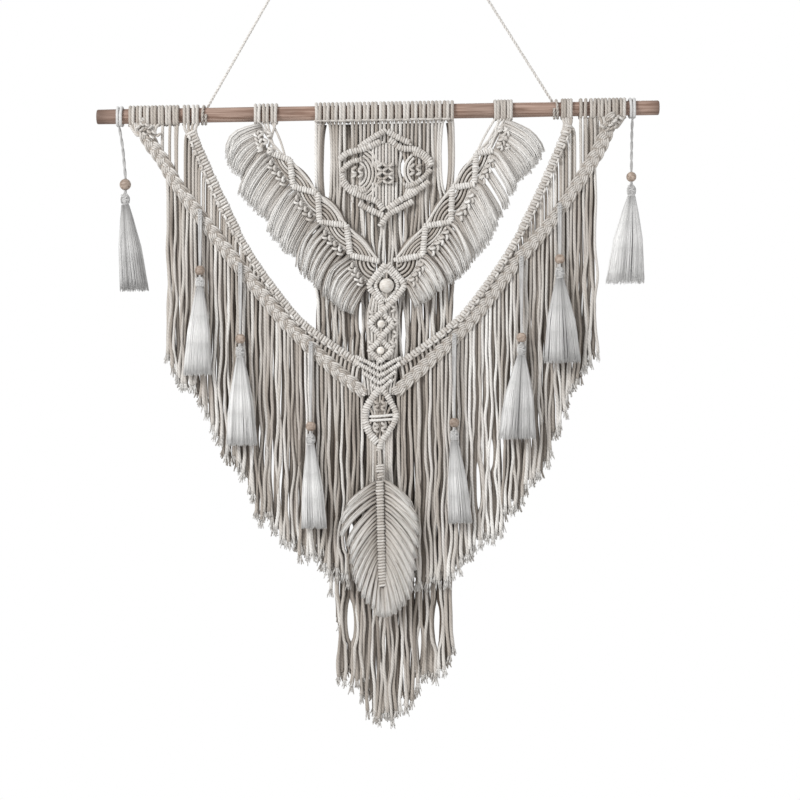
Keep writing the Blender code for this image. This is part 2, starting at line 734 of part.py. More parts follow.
def make_column_beads():
    """Thread the large cream bead and the two small ones in the column's rings."""
    for name, ring, radius in (("large_bead", "lozenge", BIG_BEAD_RADIUS),
                               ("small_bead_upper", "upper_loop", SMALL_BEAD_RADIUS),
                               ("small_bead_lower", "lower_loop", SMALL_BEAD_RADIUS)):
        x, drop = RINGS[ring][:2]
        make_bead(name, x, drop, COLUMN_LAYER, radius, BEAD_CREAM)


# ---------------------------------------------------------------- leaf

LEAF_LAYER = -27.0
SPINE_X = 2.5
SPINE_WIDTH = 11.0
SPINE_DEPTH = 9.0
SPINE_PITCH = 12.0
LEAF_LOCK_ROOT = 7.0
LEAF_BEND = (0.5, 0.12)    # where a lock bends: its share of the way, and its reach out
LEAF_HEAD_LINK = 8.0       # width of the cord between the wraps and the spine
# Cord and wraps over the leaf: x, drop, y, width. The first row starts at the diamond's foot.
LEAF_CORD = ((-1, 0, COLUMN_LAYER, 4.0), (0, 524, -21, 4.0), (1, 533, LEAF_LAYER, 11.0),
             (1, 541, LEAF_LAYER, 9.0), (2, 550, LEAF_LAYER, 8.0))
LEAF_CORD_DEPTH = 4.4
LEAF_FOOT = ((3, 722), (5, 752))       # lowest lock: x and drop
# Cells of the leaf's spine from the top: drop, then x and drop where the two locks end
LEAF_ROWS = (
    (556, -26, 580, 26, 574), (568, -46, 598, 42, 588), (580, -55, 616, 52, 604),
    (592, -54, 634, 58, 622), (604, -50, 650, 59, 640), (616, -47, 666, 58, 658),
    (628, -44, 682, 56, 676), (640, -41, 698, 53, 694), (652, -37, 712, 49, 710),
    (664, -31, 724, 43, 724), (676, -24, 734, 35, 736), (688, -15, 742, 26, 745),
    (700, -5, 747, 16, 750),
)


def make_leaf(diamond_foot):
    """Knot the leaf: two wraps on its cord, the spine of square knots and the combed locks."""
    bm = bmesh.new()
    drops = [row[0] for row in LEAF_ROWS] + [LEAF_ROWS[-1][0] + SPINE_PITCH]
    points = [at(SPINE_X, drop, LEAF_LAYER) for drop in drops]
    spine = Bar(bm, points, SPINE_WIDTH, SPINE_DEPTH)
    cord = [at(x, drop or diamond_foot + SEAT + 0.1, y) for x, drop, y, _ in LEAF_CORD]
    wraps = Bar(bm, cord, lambda i: LEAF_CORD[i][3], LEAF_CORD_DEPTH)
    middle = wraps.end.calc_center_median().lerp(spine.start.calc_center_median(), 0.5)
    strand(bm, wraps.end, [middle], (LEAF_HEAD_LINK, LEAF_HEAD_LINK), landing=spine.start)
    for faces, column in ((spine.right, 1), (spine.left, 3)):
        leaf_side(bm, faces, [(row[column], row[column + 1]) for row in LEAF_ROWS])
    strand(bm, spine.end, [at(x, drop, LEAF_LAYER) for x, drop in LEAF_FOOT],
           (LEAF_LOCK_ROOT, LOCK_DEPTH))
    make_object("leaf", bm, COTTON_LIGHT)


def leaf_side(bm, faces, tips):
    """Comb the locks of one side out of the spine's faces."""
    paths = []
    share, out = LEAF_BEND
    for root, (x, drop) in zip(faces, tips):
        root.normal_update()
        start = root.calc_center_median()
        tip = at(x, drop, LEAF_LAYER)
        bend = start.lerp(tip, share)
        bend.x += (tip.x - start.x) * out
        paths.append([start + root.normal * ROOT_REACH * MM, bend, tip])
    for root, path, widths in zip(faces, paths, lock_widths(paths, LEAF_LOCK_ROOT)):
        strand(bm, root, path, (LEAF_LOCK_ROOT, LOCK_DEPTH), widths=widths)


# ---------------------------------------------------------------- tassels

# One row for each tassel: where its cord starts (x, drop), its bead (x, drop, radius),
# the top of its head, and the foot of its skirt (x, drop, half width)
TASSELS = {
    "tassel_left_outer": (-390, 0, -382, 102, 8.6, 118, -369, 263, 21),
    "tassel_left_high": (-268, 152, -268, 234, 7.6, 246, -271, 391, 20),
    "tassel_left_middle": (-208, 233, -208, 337, 7.6, 350, -205, 497, 22),
    "tassel_left_low": (-103, 352, -103, 469, 7.6, 482, -98, 622, 18),
    "tassel_right_low": (111, 344, 111, 467, 7.6, 480, 119, 618, 17),
    "tassel_right_middle": (211, 230, 211, 342, 7.6, 353, 205, 494, 27),
    "tassel_right_high": (268, 152, 268, 226, 7.6, 240, 271, 382, 26),
    "tassel_right_outer": (378, 0, 377, 103, 7.6, 117, 368, 264, 28),
}
HEAD_RADIUS = 6.6
HEAD_FLATTEN = 0.8         # depth of a tassel's head, as a share of its width
# Rings of the head: how far below its top, and reach as a share of the head's radius
HEAD_PROFILE = ((0.0, 0.7), (5.0, 1.0), (12.0, 0.75), (20.0, 0.95))
WALL = WRAP_LOW            # the wall that the wraps lie against, y
SKIRT_FLATTEN = 0.5        # depth of an inner tassel's skirt, as a share of its width
LOCK_THICKNESS = 4.0       # of a tassel's lock at its foot
NECK_LOCK = (2.6, 2.7)     # and under the neck, with its width there
NECK_REACH = 5.0           # a lock takes its own shape this far below the neck
SKIRT_FILL = 0.84          # width of a lock at its foot, as a share of the way to the next one
OVAL_STEPS = 360           # short straight steps that an oval's length is measured in
SKIRT_CLEARANCE = 2.5      # between a skirt's back and what it hangs before
BAND_FRONT = FRONT_LAYER - BAND_DEPTH / 2 - RIDGE
TASSEL_LAYER = BAND_FRONT - SEAT - 0.1 - BEAD_CORD / 2
KNOT_WIDTH = 7.0
KNOT_RIDGE = 0.8
KNOT_DROPS = (-8, -1, 4)   # the knot's stations on the band, from where the cord starts
CORD_STRAIGHT = 12         # the cord takes its own shape this far below that
OUTER_FLATTEN = 0.8        # depth of an outer tassel's skirt, which hangs free
OUTER_CORD_TOP = 24        # drop at which an outer tassel's cord hangs free of its wraps
BEAD_REACH = 3.0           # the cord runs straight into its bead from this far above it
BEAD_STEP = 0.2            # cord left between a bead and the head below it
HEAD_FORWARD = 1.0         # the head hangs this far before its bead


def head_rings(bm, loop, signs, x, top, y):
    """Round the cord's end out into the tassel's head and return the faces of its neck."""
    angles = [math.atan2(sv, su) for su, sv in signs]
    turn = math.copysign(math.pi / 4, math.sin(angles[1] - angles[0]))
    rings = []
    for down, share in HEAD_PROFILE:
        ring = []
        for k in range(2 * len(loop)):
            angle = angles[k // 2] + turn * (k % 2)
            reach = HEAD_RADIUS * share
            ring.append(bm.verts.new(at(x + reach * math.cos(angle), top + down,
                                        y + reach * HEAD_FLATTEN * math.sin(angle))))
        rings.append(ring)
    for k in range(len(loop)):
        after = (k + 1) % len(loop)
        bm.faces.new((loop[k], rings[0][2 * k + 1], rings[0][2 * k]))
        bm.faces.new((loop[k], loop[after], rings[0][2 * after], rings[0][2 * k + 1]))
    for a, b in zip(rings, rings[1:]):
        faces = skin(bm, a, b)
    bm.faces.new(rings[-1])
    return faces


def oval_places(count, flat):
    """Return the angles of count places, evenly spaced along an oval of width 2 and depth 2 flat."""
    angles = [math.tau * k / OVAL_STEPS for k in range(OVAL_STEPS + 1)]
    walked = [0.0]
    for a, b in zip(angles, angles[1:]):
        walked.append(walked[-1] + math.dist(*((math.cos(t), flat * math.sin(t)) for t in (a, b))))
    return [read_table(list(zip(walked, angles)), walked[-1] * (k + 0.5) / count)
            for k in range(count)]


def on_oval(x, drop, y, reach, flat, angle):
    """Return the world point of a place on an oval round x and y, and the way along the oval there."""
    point = at(x + reach * math.cos(angle), drop, y + reach * flat * math.sin(angle))
    return point, Vector((-math.sin(angle), flat * math.cos(angle), 0.0)).normalized()


def skirt(bm, faces, head_x, foot_x, foot, half, y, flat, backing):
    """Comb a lock out of each face of the neck, down to the skirt's oval foot before its backing."""
    foot_y = min(y, backing - SKIRT_CLEARANCE - half * flat)
    reach = half - LOCK_THICKNESS / 2
    count = len(faces)
    ends = [on_oval(foot_x, foot, foot_y, reach, flat, angle) for angle in oval_places(count, flat)]
    for face in faces:
        middle = face.calc_center_median()
        turn = math.atan2((middle.y / MM - y) / HEAD_FLATTEN, x_of(face) - head_x) % math.tau
        near, around = on_oval(head_x, foot_of(face) + NECK_REACH, y, HEAD_RADIUS, HEAD_FLATTEN, turn)
        strand(bm, face, [near], NECK_LOCK, across=around)
        k = int(turn / math.tau * count)
        end, along = ends[k]
        room = min((ends[(k + step) % count][0] - end).length for step in (-1, 1)) / MM
        strand(bm, newest_face(bm), [end], (LOCK_THICKNESS, SKIRT_FILL * room), across=along)


def newest_face(bm):
    """Return the cap that the last strand ended in."""
    bm.faces.ensure_lookup_table()
    return bm.faces[-1]


def make_tassel(name, row):
    """Tie one tassel: its cord, head and skirt of locks."""
    start_x, start, bead_x, bead, radius, top, foot_x, foot, half = row
    outer = start == 0
    y = 0.0 if outer else TASSEL_LAYER
    flat = OUTER_FLATTEN if outer else SKIRT_FLATTEN
    bm = bmesh.new()
    if outer:
        under = wrap(bm, start_x - PITCH, start_x + PITCH)
        root = under[0] if start_x < 0 else under[1]
        bead_y = 0.0
        path = [at(x_of(root), OUTER_CORD_TOP, 0.0)]
    else:
        knot = [at(start_x, start + down, y) for down in KNOT_DROPS]
        bar = Bar(bm, knot, KNOT_WIDTH, BEAD_CORD, ridge=KNOT_RIDGE)
        root = bar.end
        bead_y = FRINGE_FRONT - SEAT - radius
        path = [at(start_x, start + CORD_STRAIGHT, y)]
    head_y = bead_y - HEAD_FORWARD
    path += [at(bead_x, bead - radius - BEAD_REACH, bead_y),
             at(bead_x, bead + radius + BEAD_STEP, bead_y)]
    strand(bm, root, path, (BEAD_CORD, BEAD_CORD))
    cap = newest_face(bm)
    loop = list(cap.verts)
    cap.normal_update()
    signs = corner_signs(loop, cap.calc_center_median(), Vector((1, 0, 0)), ACROSS_Y)
    bm.faces.remove(cap)
    faces = head_rings(bm, loop, signs, bead_x, top, head_y)
    skirt(bm, faces, bead_x, foot_x, foot, half, head_y, flat, WALL if outer else FRINGE_FRONT)
    make_object(name, bm, TASSEL_THREAD)
    make_bead(name.replace("tassel", "bead"), bead_x, bead, bead_y, radius, BEAD_WOOD)


# ---------------------------------------------------------------- the whole hanging

def build():
    """Build every piece of the hanging."""
    for obj in list(bpy.data.objects):
        bpy.data.objects.remove(obj)
    make_rod()
    make_hanging_cord()
    make_centre_panel()
    make_side("left_swag", -1, LEFT_OUTER_BAND, LEFT_ENDS, LEFT_SWAG_WRAP, 21)
    make_side("right_swag", 1, RIGHT_OUTER_BAND, RIGHT_ENDS, RIGHT_SWAG_WRAP, 22)
    make_wing("left_wing", -1, LEFT_ZIGZAG, LEFT_TUFTS, LEFT_WING_WRAP)
    make_wing("right_wing", 1, RIGHT_ZIGZAG, RIGHT_TUFTS, RIGHT_WING_WRAP)
    diamond_foot = make_column()
    make_column_beads()
    make_leaf(diamond_foot)
    for name, row in TASSELS.items():
        make_tassel(name, row)


build()
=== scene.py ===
"""Dresses the macrame wall hanging: its rod, cords, knots, combed tufts, leaf, tassels and beads.

The file is laid out as a Blender add-on and is run as a script. Each operator in the panel makes
one piece, or a few like pieces, on the frame of solids. The tables are in millimetres, in the
work's own space: x to the right of the work's middle line, drop below the rod's axis, y back to the
wall. Mesh code uses the same space with z = -drop, and to_frame takes it to the frame's metres.
"""

import math
from collections import namedtuple

import bpy
import numpy as np
from bpy.props import FloatProperty, FloatVectorProperty, IntProperty, PointerProperty
from bpy.types import Operator, Panel, PropertyGroup
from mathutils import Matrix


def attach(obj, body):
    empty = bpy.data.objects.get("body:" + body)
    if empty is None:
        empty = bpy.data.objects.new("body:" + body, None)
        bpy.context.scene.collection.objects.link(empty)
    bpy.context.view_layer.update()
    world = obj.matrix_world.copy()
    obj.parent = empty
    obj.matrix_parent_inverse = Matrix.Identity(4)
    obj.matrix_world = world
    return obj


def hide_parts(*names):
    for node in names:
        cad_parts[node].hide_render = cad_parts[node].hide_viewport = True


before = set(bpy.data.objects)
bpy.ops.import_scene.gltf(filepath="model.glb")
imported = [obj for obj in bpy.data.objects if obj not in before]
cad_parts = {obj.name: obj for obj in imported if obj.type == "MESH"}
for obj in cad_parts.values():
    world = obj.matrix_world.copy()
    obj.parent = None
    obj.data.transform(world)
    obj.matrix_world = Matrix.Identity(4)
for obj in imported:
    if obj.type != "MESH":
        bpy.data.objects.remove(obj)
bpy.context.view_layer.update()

bl_info = {
    "name": "Macrame wall hanging",
    "version": (1, 0, 0),
    "blender": (4, 5, 0),
    "location": "3D View > Sidebar > Macrame",
    "description": "Knots, cords, tufts, tassels and beads of a wall hanging on a wooden rod",
    "category": "Object",
}

MM = 0.001
TAU = math.tau

# Rod, and where the work hangs on it
ROD_LENGTH = 843.0
ROD_RADIUS = 11.0
ROD_MIDDLE_X = -3.0
ROD_DROP = 437.0           # rod's axis below the nail
TILT = math.tan(math.radians(0.95))
WORK_X = 10.5              # the work's middle line, right of the nail
NAIL = (-WORK_X, 0.0, ROD_DROP + TILT * WORK_X)
NAIL_RADIUS = 2.0
CORD_TIE_X = 267.6         # where the hanging cord leaves the rod, on each side
LOOP_Z = -13.4             # height of the lark's heads' loops, against the rod's axis

# Depth of the layers, y of their middle
BACK_LAYER = -2.0
ROSETTE_LAYER = -8.5
FRINGE_LAYER = -12.4
FRONT_LAYER = -14.0
COLUMN_LAYER = -17.0
LEAF_LAYER = -27.0
WALL = 15.6

# How cords and threads are meshed
CORD_RING = 7.5            # length of a tube's cells along a hanging cord
KNOT_RING = 2.6            # and along a cord in a knot
COIL_STEPS = 9             # cells in one turn of a hitch
CORD_SIDES = 6
BACK_SIDES = 5             # sides of the cords behind the front ones
THREAD_SIDES = 3

# How a cord hangs and ends
LONG_WAVE = (110, 200)     # length of its waves, shortest and longest
SHORT_WAVE = (40, 70)      # and of the small waves on them
SWAY_EASE = 190.0          # it sways in full from this far below its start
START_EASE = 34.0          # and has left its starting point by here
OPENING_RINGS = 8          # its end opens over this many rings
DRIFT_RINGS = 9            # rings from one value of its drifting tone to the next
FRAY_THREADS = 10
FRAY_REACH = 15.0          # length of its frayed threads, whose ends the tables give
FRAY_RADII = np.array((1.1, 1.05, 0.95, 0.6)) / 4.8    # from root to tip, as shares of the cord
BACK_CORD = 1.4            # width of a cord behind, as a share of a front one's
BACK_SWAY = 0.5            # and its sway

# A braid, and a lock of combed threads
BRAID_STRANDS = 3
BRAID_PLY = 4              # cords in each of its strands
BRAID_LAY = 46.0           # length in which a strand crosses over and comes back
LOCK_RADII = np.array((1.3, 1.25, 1.2, 1.15, 1.1, 1.0, 0.75))    # from root to tip, as shares
LOCK_CLUMPS = 1.5          # clumps on each side of a lock's middle
LOCK_GATHER = 0.12         # how far its threads draw together into clumps at the tip


# ---------------------------------------------------------------- sizes and colours

def length(name, description, default):
    """Return a property for a length in metres."""
    return FloatProperty(name=name, description=description, default=default, min=0.0001,
                         subtype="DISTANCE", unit="LENGTH")


def colour(name, description, default):
    """Return a property for a colour."""
    return FloatVectorProperty(name=name, description=description, default=default, size=3,
                               min=0.0, max=1.0, subtype="COLOR")


class CordLooks(PropertyGroup):
    """Sizes and colours of the cords and threads."""

    cord: length("Cord", "Width of a hanging cord", 0.0048)
    hitch: length("Hitch", "Width of a cord that is pulled tight in a hitch", 0.0040)
    thread: length("Thread", "Width of a combed thread", 0.0012)
    pitch: length("Pitch", "Distance between neighbouring cords of the fringe", 0.0059)
    sway: length("Sway", "How far a hanging cord wanders to the sides", 0.0024)
    seed: IntProperty(name="Seed", description="Seed of all unevenness", default=7, min=0)
    shadow: colour("Shadow cotton", "Cotton of the darkest cords", (0.10, 0.076, 0.058))
    cotton: colour("Cotton", "Cotton of most cords", (0.43, 0.387, 0.343))
    cream: colour("Cream cotton", "Cotton of the lightest cords", (0.84, 0.82, 0.79))
    combed: colour("Combed cotton", "Cotton of the lightest combed threads", (0.93, 0.915, 0.89))
    silk: colour("Tassel thread", "Thread of the tassels", (0.93, 0.925, 0.915))
    silk_shadow: colour("Tassel shadow", "Thread of the tassels, where it is darkest",
                        (0.24, 0.235, 0.23))


class WoodLooks(PropertyGroup):
    """Colours of the wood."""

    rod: colour("Rod", "Wood of the rod", (0.40, 0.285, 0.232))
    rod_grain: colour("Rod grain", "Dark grain of the rod", (0.20, 0.122, 0.09))
    bead: colour("Tan beads", "Wood of the tassels' beads", (0.44, 0.355, 0.295))
    bead_grain: colour("Tan bead grain", "Grain of the tassels' beads", (0.22, 0.165, 0.13))
    cream: colour("Cream beads", "Wood of the beads in the column", (0.84, 0.815, 0.775))
    cream_grain: colour("Cream bead grain", "Grain of the beads in the column",
                        (0.66, 0.61, 0.55))


class StudioLooks(PropertyGroup):
    """Camera, light and floor."""

    lens: FloatProperty(name="Lens", description="Focal length of the camera, in millimetres",
                        default=100.0, min=10.0)
    frame_width: length("Frame width", "Width of the picture at the work", 1.2)
    centre_x: FloatProperty(name="Centre x", description="Middle of the picture, to the right",
                            default=0.0405, unit="LENGTH")
    centre_z: FloatProperty(name="Centre z", description="Middle of the picture, upwards",
                            default=-0.8685, unit="LENGTH")
    sky: FloatProperty(name="Surroundings", description="Light of the white surroundings",
                       default=0.56, min=0.0)
    key: FloatProperty(name="Key light", description="Power of the large light, in watts",
                       default=112.0, min=0.0, subtype="POWER")
    fill: FloatProperty(name="Fill light", description="Power of the smaller light, in watts",
                        default=18.0, min=0.0, subtype="POWER")
    back: FloatProperty(name="Back light", description="Power of the light behind, in watts",
                        default=40.0, min=0.0, subtype="POWER")
    floor: colour("Floor", "Colour of the floor", (0.86, 0.85, 0.84))


# ---------------------------------------------------------------- places and curves

def place(x, drop, y):
    """Return a place of the tables as a point of the work's space."""
    return np.array((x, y, -drop), float)


def row_path(rows, y, side=1):
    """Return rows of x and drop as points at the depth y, mirrored where side is -1."""
    return [place(side * x, drop, y) for x, drop in rows]


def to_frame(points):
    """Take points of the work's space to the frame, in metres."""
    moved = np.array(points, float)
    moved[:, 2] += TILT * moved[:, 0] - ROD_DROP
    moved[:, 0] += WORK_X
    return moved * MM


def unit(vectors):
    """Return the vectors at length 1."""
    return vectors / np.maximum(np.linalg.norm(vectors, axis=-1, keepdims=True), 1e-9)


def curve(points, gap, closed=False):
    """Return points about gap apart on a smooth curve through the given ones."""
    points = np.asarray(points, float)
    if closed:
        ends = np.concatenate((points[-1:], points, points[:2]))
    else:
        ends = np.concatenate((2 * points[:1] - points[1:2], points,
                               2 * points[-1:] - points[-2:-1]))
    t = np.linspace(0, 1, 12, endpoint=False)[:, None]
    spans = []
    for a, b, c, d in zip(ends, ends[1:], ends[2:], ends[3:]):
        spans.append(0.5 * (2 * b + (c - a) * t + (2 * a - 5 * b + 4 * c - d) * t ** 2
                            + (3 * b - a - 3 * c + d) * t ** 3))
    fine = np.concatenate(spans + [ends[-2:-1]])
    return even(fine, gap)


def even(fine, gap):
    """Return points about gap apart along a line of finer points."""
    walked = np.concatenate(([0.0], np.cumsum(np.linalg.norm(np.diff(fine, axis=0), axis=1))))
    return sample(fine, walked, np.linspace(0, walked[-1], max(2, round(walked[-1] / gap) + 1)))


def sample(line, known, wanted):
    """Return the points of a line at the wanted places, from the known places of its own points."""
    return np.stack([np.interp(wanted, known, line[:, k]) for k in range(3)], axis=-1)


def directions(paths):
    """Return run, front and side at each point of the paths, untwisted, front to the viewer."""
    runs = unit(np.gradient(paths, axis=1))
    fronts = np.empty_like(runs)
    front = np.tile((0.0, -1.0, 0.0), (len(paths), 1))
    level = np.abs(runs[:, 0, 1]) > 0.9
    front[level] = (0.0, 0.0, 1.0)
    for k in range(paths.shape[1]):
        front = unit(front - (front * runs[:, k]).sum(1, keepdims=True) * runs[:, k])
        fronts[:, k] = front
    return runs, fronts, np.cross(runs, fronts)


def path_directions(path):
    """Return run, front and side at each point of one path."""
    return (item[0] for item in directions(path[None]))


def read(rows, x):
    """Return the second column of a table at x, on straight lines between its rows."""
    rows = sorted(rows)
    return np.interp(x, [row[0] for row in rows], [row[1] for row in rows])


# ---------------------------------------------------------------- yarn

class Yarn:
    """Gathers tubes into one mesh. Points have a tone, corners their place round and along."""

    def __init__(self):
        self.points = []
        self.tones = []
        self.faces = []
        self.lays = []
        self.count = 0

    def tubes(self, paths, radii, tones, sides=CORD_SIDES, flat=1.0):
        """Lay a tube along each path. radii and tones are for all, for each or for each ring."""
        paths = np.asarray(paths, float)
        paths = paths[None] if paths.ndim == 2 else paths
        number, rings = paths.shape[:2]
        _, fronts, across = directions(paths)
        radii = np.broadcast_to(radii, (number, rings))[..., None, None]
        angles = TAU * np.arange(sides) / sides
        ring = (fronts[:, :, None] * np.cos(angles)[:, None] * flat
                + across[:, :, None] * np.sin(angles)[:, None])
        self.points.append((paths[:, :, None] + radii * ring).reshape(-1, 3))
        tones = np.broadcast_to(tones, (number, rings))[..., None]
        self.tones.append(np.broadcast_to(tones, (number, rings, sides)).ravel())
        steps = np.linalg.norm(np.diff(paths, axis=1), axis=2)
        along = np.concatenate((np.zeros((number, 1)), np.cumsum(steps, axis=1)), axis=1)
        self.close(number, rings, sides, along)
        self.count += number * rings * sides

    def strand(self, points, radius, tone, gap=KNOT_RING, sides=CORD_SIDES):
        """Lay one cord on a smooth curve through a few points."""
        self.tubes(curve(points, gap), radius, tone, sides)

    def close(self, number, rings, sides, along):
        """Add the faces of tubes whose points come next, with their caps."""
        index = self.count + np.arange(number * rings * sides).reshape(number, rings, sides)
        after = np.roll(index, -1, axis=2)
        quads = np.stack((index[:, :-1], after[:, :-1], after[:, 1:], index[:, 1:]), axis=-1)
        self.faces.append(quads.reshape(-1, 4))
        turn = np.arange(sides) / sides
        a, b, near, far = np.broadcast_arrays(turn, turn + 1 / sides, along[:, :-1, None],
                                              along[:, 1:, None])
        lay = np.stack((a, near, b, near, b, far, a, far), axis=-1)
        self.lays.append(lay.reshape(-1, 2))
        for ring, end in ((index[:, 0, ::-1], along[:, :1]), (index[:, -1], along[:, -1:])):
            self.faces.append(ring)
            self.lays.append(np.stack(np.broadcast_arrays(turn, end), axis=-1).reshape(-1, 2))

    def build(self, name, material, slot, *nodes):
        """Turn what was gathered into a piece that stands for the nodes."""
        mesh = bpy.data.meshes.new(name)
        faces = [row for rows in self.faces for row in rows.tolist()]
        mesh.from_pydata(to_frame(np.concatenate(self.points)), [], faces)
        mesh.shade_smooth()
        tone = mesh.attributes.new("tone", "FLOAT", "POINT")
        tone.data.foreach_set("value", np.concatenate(self.tones).astype(np.float32))
        lay = mesh.uv_layers.new(name="lay")
        lay.uv.foreach_set("vector", np.concatenate(self.lays).astype(np.float32).ravel())
        return finish_piece(name, mesh, material, slot, *nodes)


def finish_piece(name, mesh, material, slot, *nodes):
    """Put a mesh in the scene as a piece that rides on the root body and stands for the nodes."""
    mesh.materials.append(material)
    piece = bpy.data.objects.new(name, mesh)
    bpy.context.scene.collection.objects.link(piece)
    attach(piece, "root")
    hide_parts(*nodes)
    return piece


# How much lighter the fringe is: x, then the tone that is added
FRINGE_SHADES = ((-330, 0.04), (-60, 0.04), (-30, -0.06), (30, -0.06), (60, 0.0), (124, 0.04),
                 (134, 0.26), (170, 0.26), (182, 0.06), (330, 0.06))
# Openings that the hanging cords pass on both sides: x, drop, half width, half height
OPENINGS = ((-80, 74, 6.4, 60), (98, 68, 6.0, 56), (34.5, 84, 4.6, 14), (-30, 306, 3.8, 26),
            (34, 333, 3.7, 36), (-47.5, 635, 8.0, 26), (-44, 762, 7.0, 34), (-68, 770, 4.4, 46),
            (84, 770, 5.0, 34), (60, 800, 3.6, 30), (148, 565, 4.4, 36), (169, 516, 3.8, 24))
OPENING_ROOM = 2.6         # a cord moves aside within this many half widths of an opening


def hanging(x, top, bottom, y, chance, sway, start=None):
    """Return the way of a cord that hangs from top to bottom, from the point start if given."""
    down = np.linspace(0, bottom - top, max(4, round((bottom - top) / CORD_RING) + 1))
    phases = chance.uniform(0, TAU, 4)
    long, short = chance.uniform(*LONG_WAVE), chance.uniform(*SHORT_WAVE)
    lean = np.clip(chance.normal(0, 0.7), -1.6, 1.6)
    sway = sway * np.minimum(1, down / SWAY_EASE)
    parts = zip((long, short) * 2, phases)
    waves = [np.sin(down / wave * TAU + phase) for wave, phase in parts]
    path = np.column_stack((x + sway * (lean + waves[0] + 0.22 * waves[1]),
                            y + 0.7 * sway * (waves[2] + 0.3 * waves[3]), -top - down))
    if start is not None:
        fade = np.clip(1 - down / START_EASE, 0, 1)[:, None] ** 1.6
        path += fade * (np.asarray(start, float) - path[0])
    return path


def part_aside(path):
    """Bow a cord's path aside where it would cross an opening."""
    for x, drop, half, tall in OPENINGS:
        room = OPENING_ROOM * half
        wide = half * np.sqrt(np.maximum(0, 1 - ((path[:, 2] + drop) / tall) ** 2))
        off = path[:, 0] - x
        side = 1.0 if off[np.argmin(np.abs(path[:, 2] + drop))] >= 0 else -1.0
        near = np.abs(off) < room
        path[near, 0] = x + side * (wide + np.abs(off) * (1 - wide / room))[near]
    return path


def fray(yarn, end, run, cord, tone, chance):
    """Let the end of a cord open into a few threads."""
    angle = chance.uniform(0, TAU, FRAY_THREADS)
    spread = cord * chance.uniform(0.3, 1.4, FRAY_THREADS)
    far = FRAY_REACH * chance.uniform(0.45, 1.0, FRAY_THREADS)
    share = np.linspace(0, 1, len(FRAY_RADII))[None, :, None]
    out = np.column_stack((np.cos(angle), 0.7 * np.sin(angle), 0 * angle))[:, None]
    root, inside = cord * 0.3, 3.0
    wide = root + (spread[:, None, None] - root) * share ** 1.4
    ways = end - run * inside + out * wide + run * (far[:, None, None] + inside) * share
    yarn.tubes(ways, FRAY_RADII * cord, tone + 0.36, THREAD_SIDES)


def drop_cord(yarn, path, cord, tone, chance, sides=CORD_SIDES):
    """Hang one cord along its path, opening and lighter towards its frayed end."""
    rings = np.arange(len(path))
    radii = cord / 2 * (1 + 0.05 * np.sin(rings * 0.9 + chance.uniform(0, TAU)))
    opened = np.clip(1 - (len(path) - 1 - rings) / OPENING_RINGS, 0, 1) ** 1.5
    tone = np.broadcast_to(tone, len(path))
    stops = np.arange(0, len(path) + DRIFT_RINGS, DRIFT_RINGS)
    drift = np.interp(rings, stops, chance.normal(0, 0.11, len(stops)))
    yarn.tubes(path, radii * (1 + 0.26 * opened), tone + drift + 0.1 * opened, sides)
    fray(yarn, path[-1], unit(path[-1] - path[-2]), cord, tone[-1], chance)


def fringe(yarn, xs, tops, bottoms, y, looks, chance, tones, ragged, behind=False):
    """Hang a row of cords from tops to bottoms, each with one of the tones and a ragged end."""
    width, sides, share = (BACK_CORD, BACK_SIDES, BACK_SWAY) if behind else (1.03, CORD_SIDES, 1.0)
    for x, top, bottom in zip(xs, tops, bottoms):
        x += chance.normal(0, 0.5)
        bottom += chance.uniform(-ragged, ragged) - FRAY_REACH
        tone = chance.choice(tones) + chance.uniform(-0.07, 0.07) + read(FRINGE_SHADES, x)
        path = hanging(x, top, bottom, y + chance.uniform(-0.8, 0.8), chance,
                       looks.sway / MM * share)
        cord = looks.cord / MM * width * chance.uniform(0.84, 1.1)
        drop_cord(yarn, part_aside(path), cord, tone, chance, sides)


def hitches(yarn, path, width, depth, cord, tone, chance, closed=False, pitch=None, gap=0.05,
            inside=0.5):
    """Wind hitches closely round a path, in pairs a little apart, over the cords that they hold.

    width lies in the work's plane and depth across it, both outside. inside is how much darker the
    held cords are, as painted shade between the turns.
    """
    pitch = pitch or cord * 0.94
    line = curve(path, pitch / COIL_STEPS, closed)
    runs, fronts, sides = path_directions(line)
    turns = np.arange(len(line)) / COIL_STEPS
    angle = TAU * turns
    half, deep = (width - cord) / 2, (depth - cord) / 2
    uneven = 0.06 * chance.normal(0, 1, int(turns[-1]) + 3)[turns.astype(int)]
    along = pitch * (0.3 * np.cos(angle) + gap * np.cos(math.pi * turns))
    coil = (line + sides * (half * np.cos(angle) * (1 + uneven))[:, None]
            + fronts * (deep * np.sin(angle) * (1 + uneven))[:, None] + runs * along[:, None])
    yarn.tubes(coil, cord / 2, tone + uneven, sides=5)
    # painted shade: the held cords show darker between the turns
    yarn.tubes(line[::COIL_STEPS // 2], half * 0.98, tone - inside, flat=deep / max(half, 0.1))


def hitched_line(yarn, corners, *words, **named):
    """Wind hitches along each straight run between the corners."""
    for a, b in zip(corners, corners[1:]):
        hitches(yarn, (a, (a + b) / 2, b), *words, **named)


def square_knot(yarn, centre, width, height, cord, tone, flip, run=(0, 0, -1)):
    """Tie one square knot: a slanting loop round its cords, with bumps at both edges."""
    down, front = np.array(run, float), np.array((0, -1.0, 0))
    across = np.cross(down, front)
    slant = height * 0.32 * (1 if flip else -1)
    angle = np.radians(np.arange(0, 360, 45))[:, None]
    ring = (centre + across * ((width - cord) / 2 * np.cos(angle))
            + front * (cord * 0.95 * np.sin(angle))
            + down * (slant * np.cos(angle) + 0.25 * height * np.sin(angle)))
    yarn.tubes(curve(ring, KNOT_RING * 0.8, closed=True), cord / 2, tone)


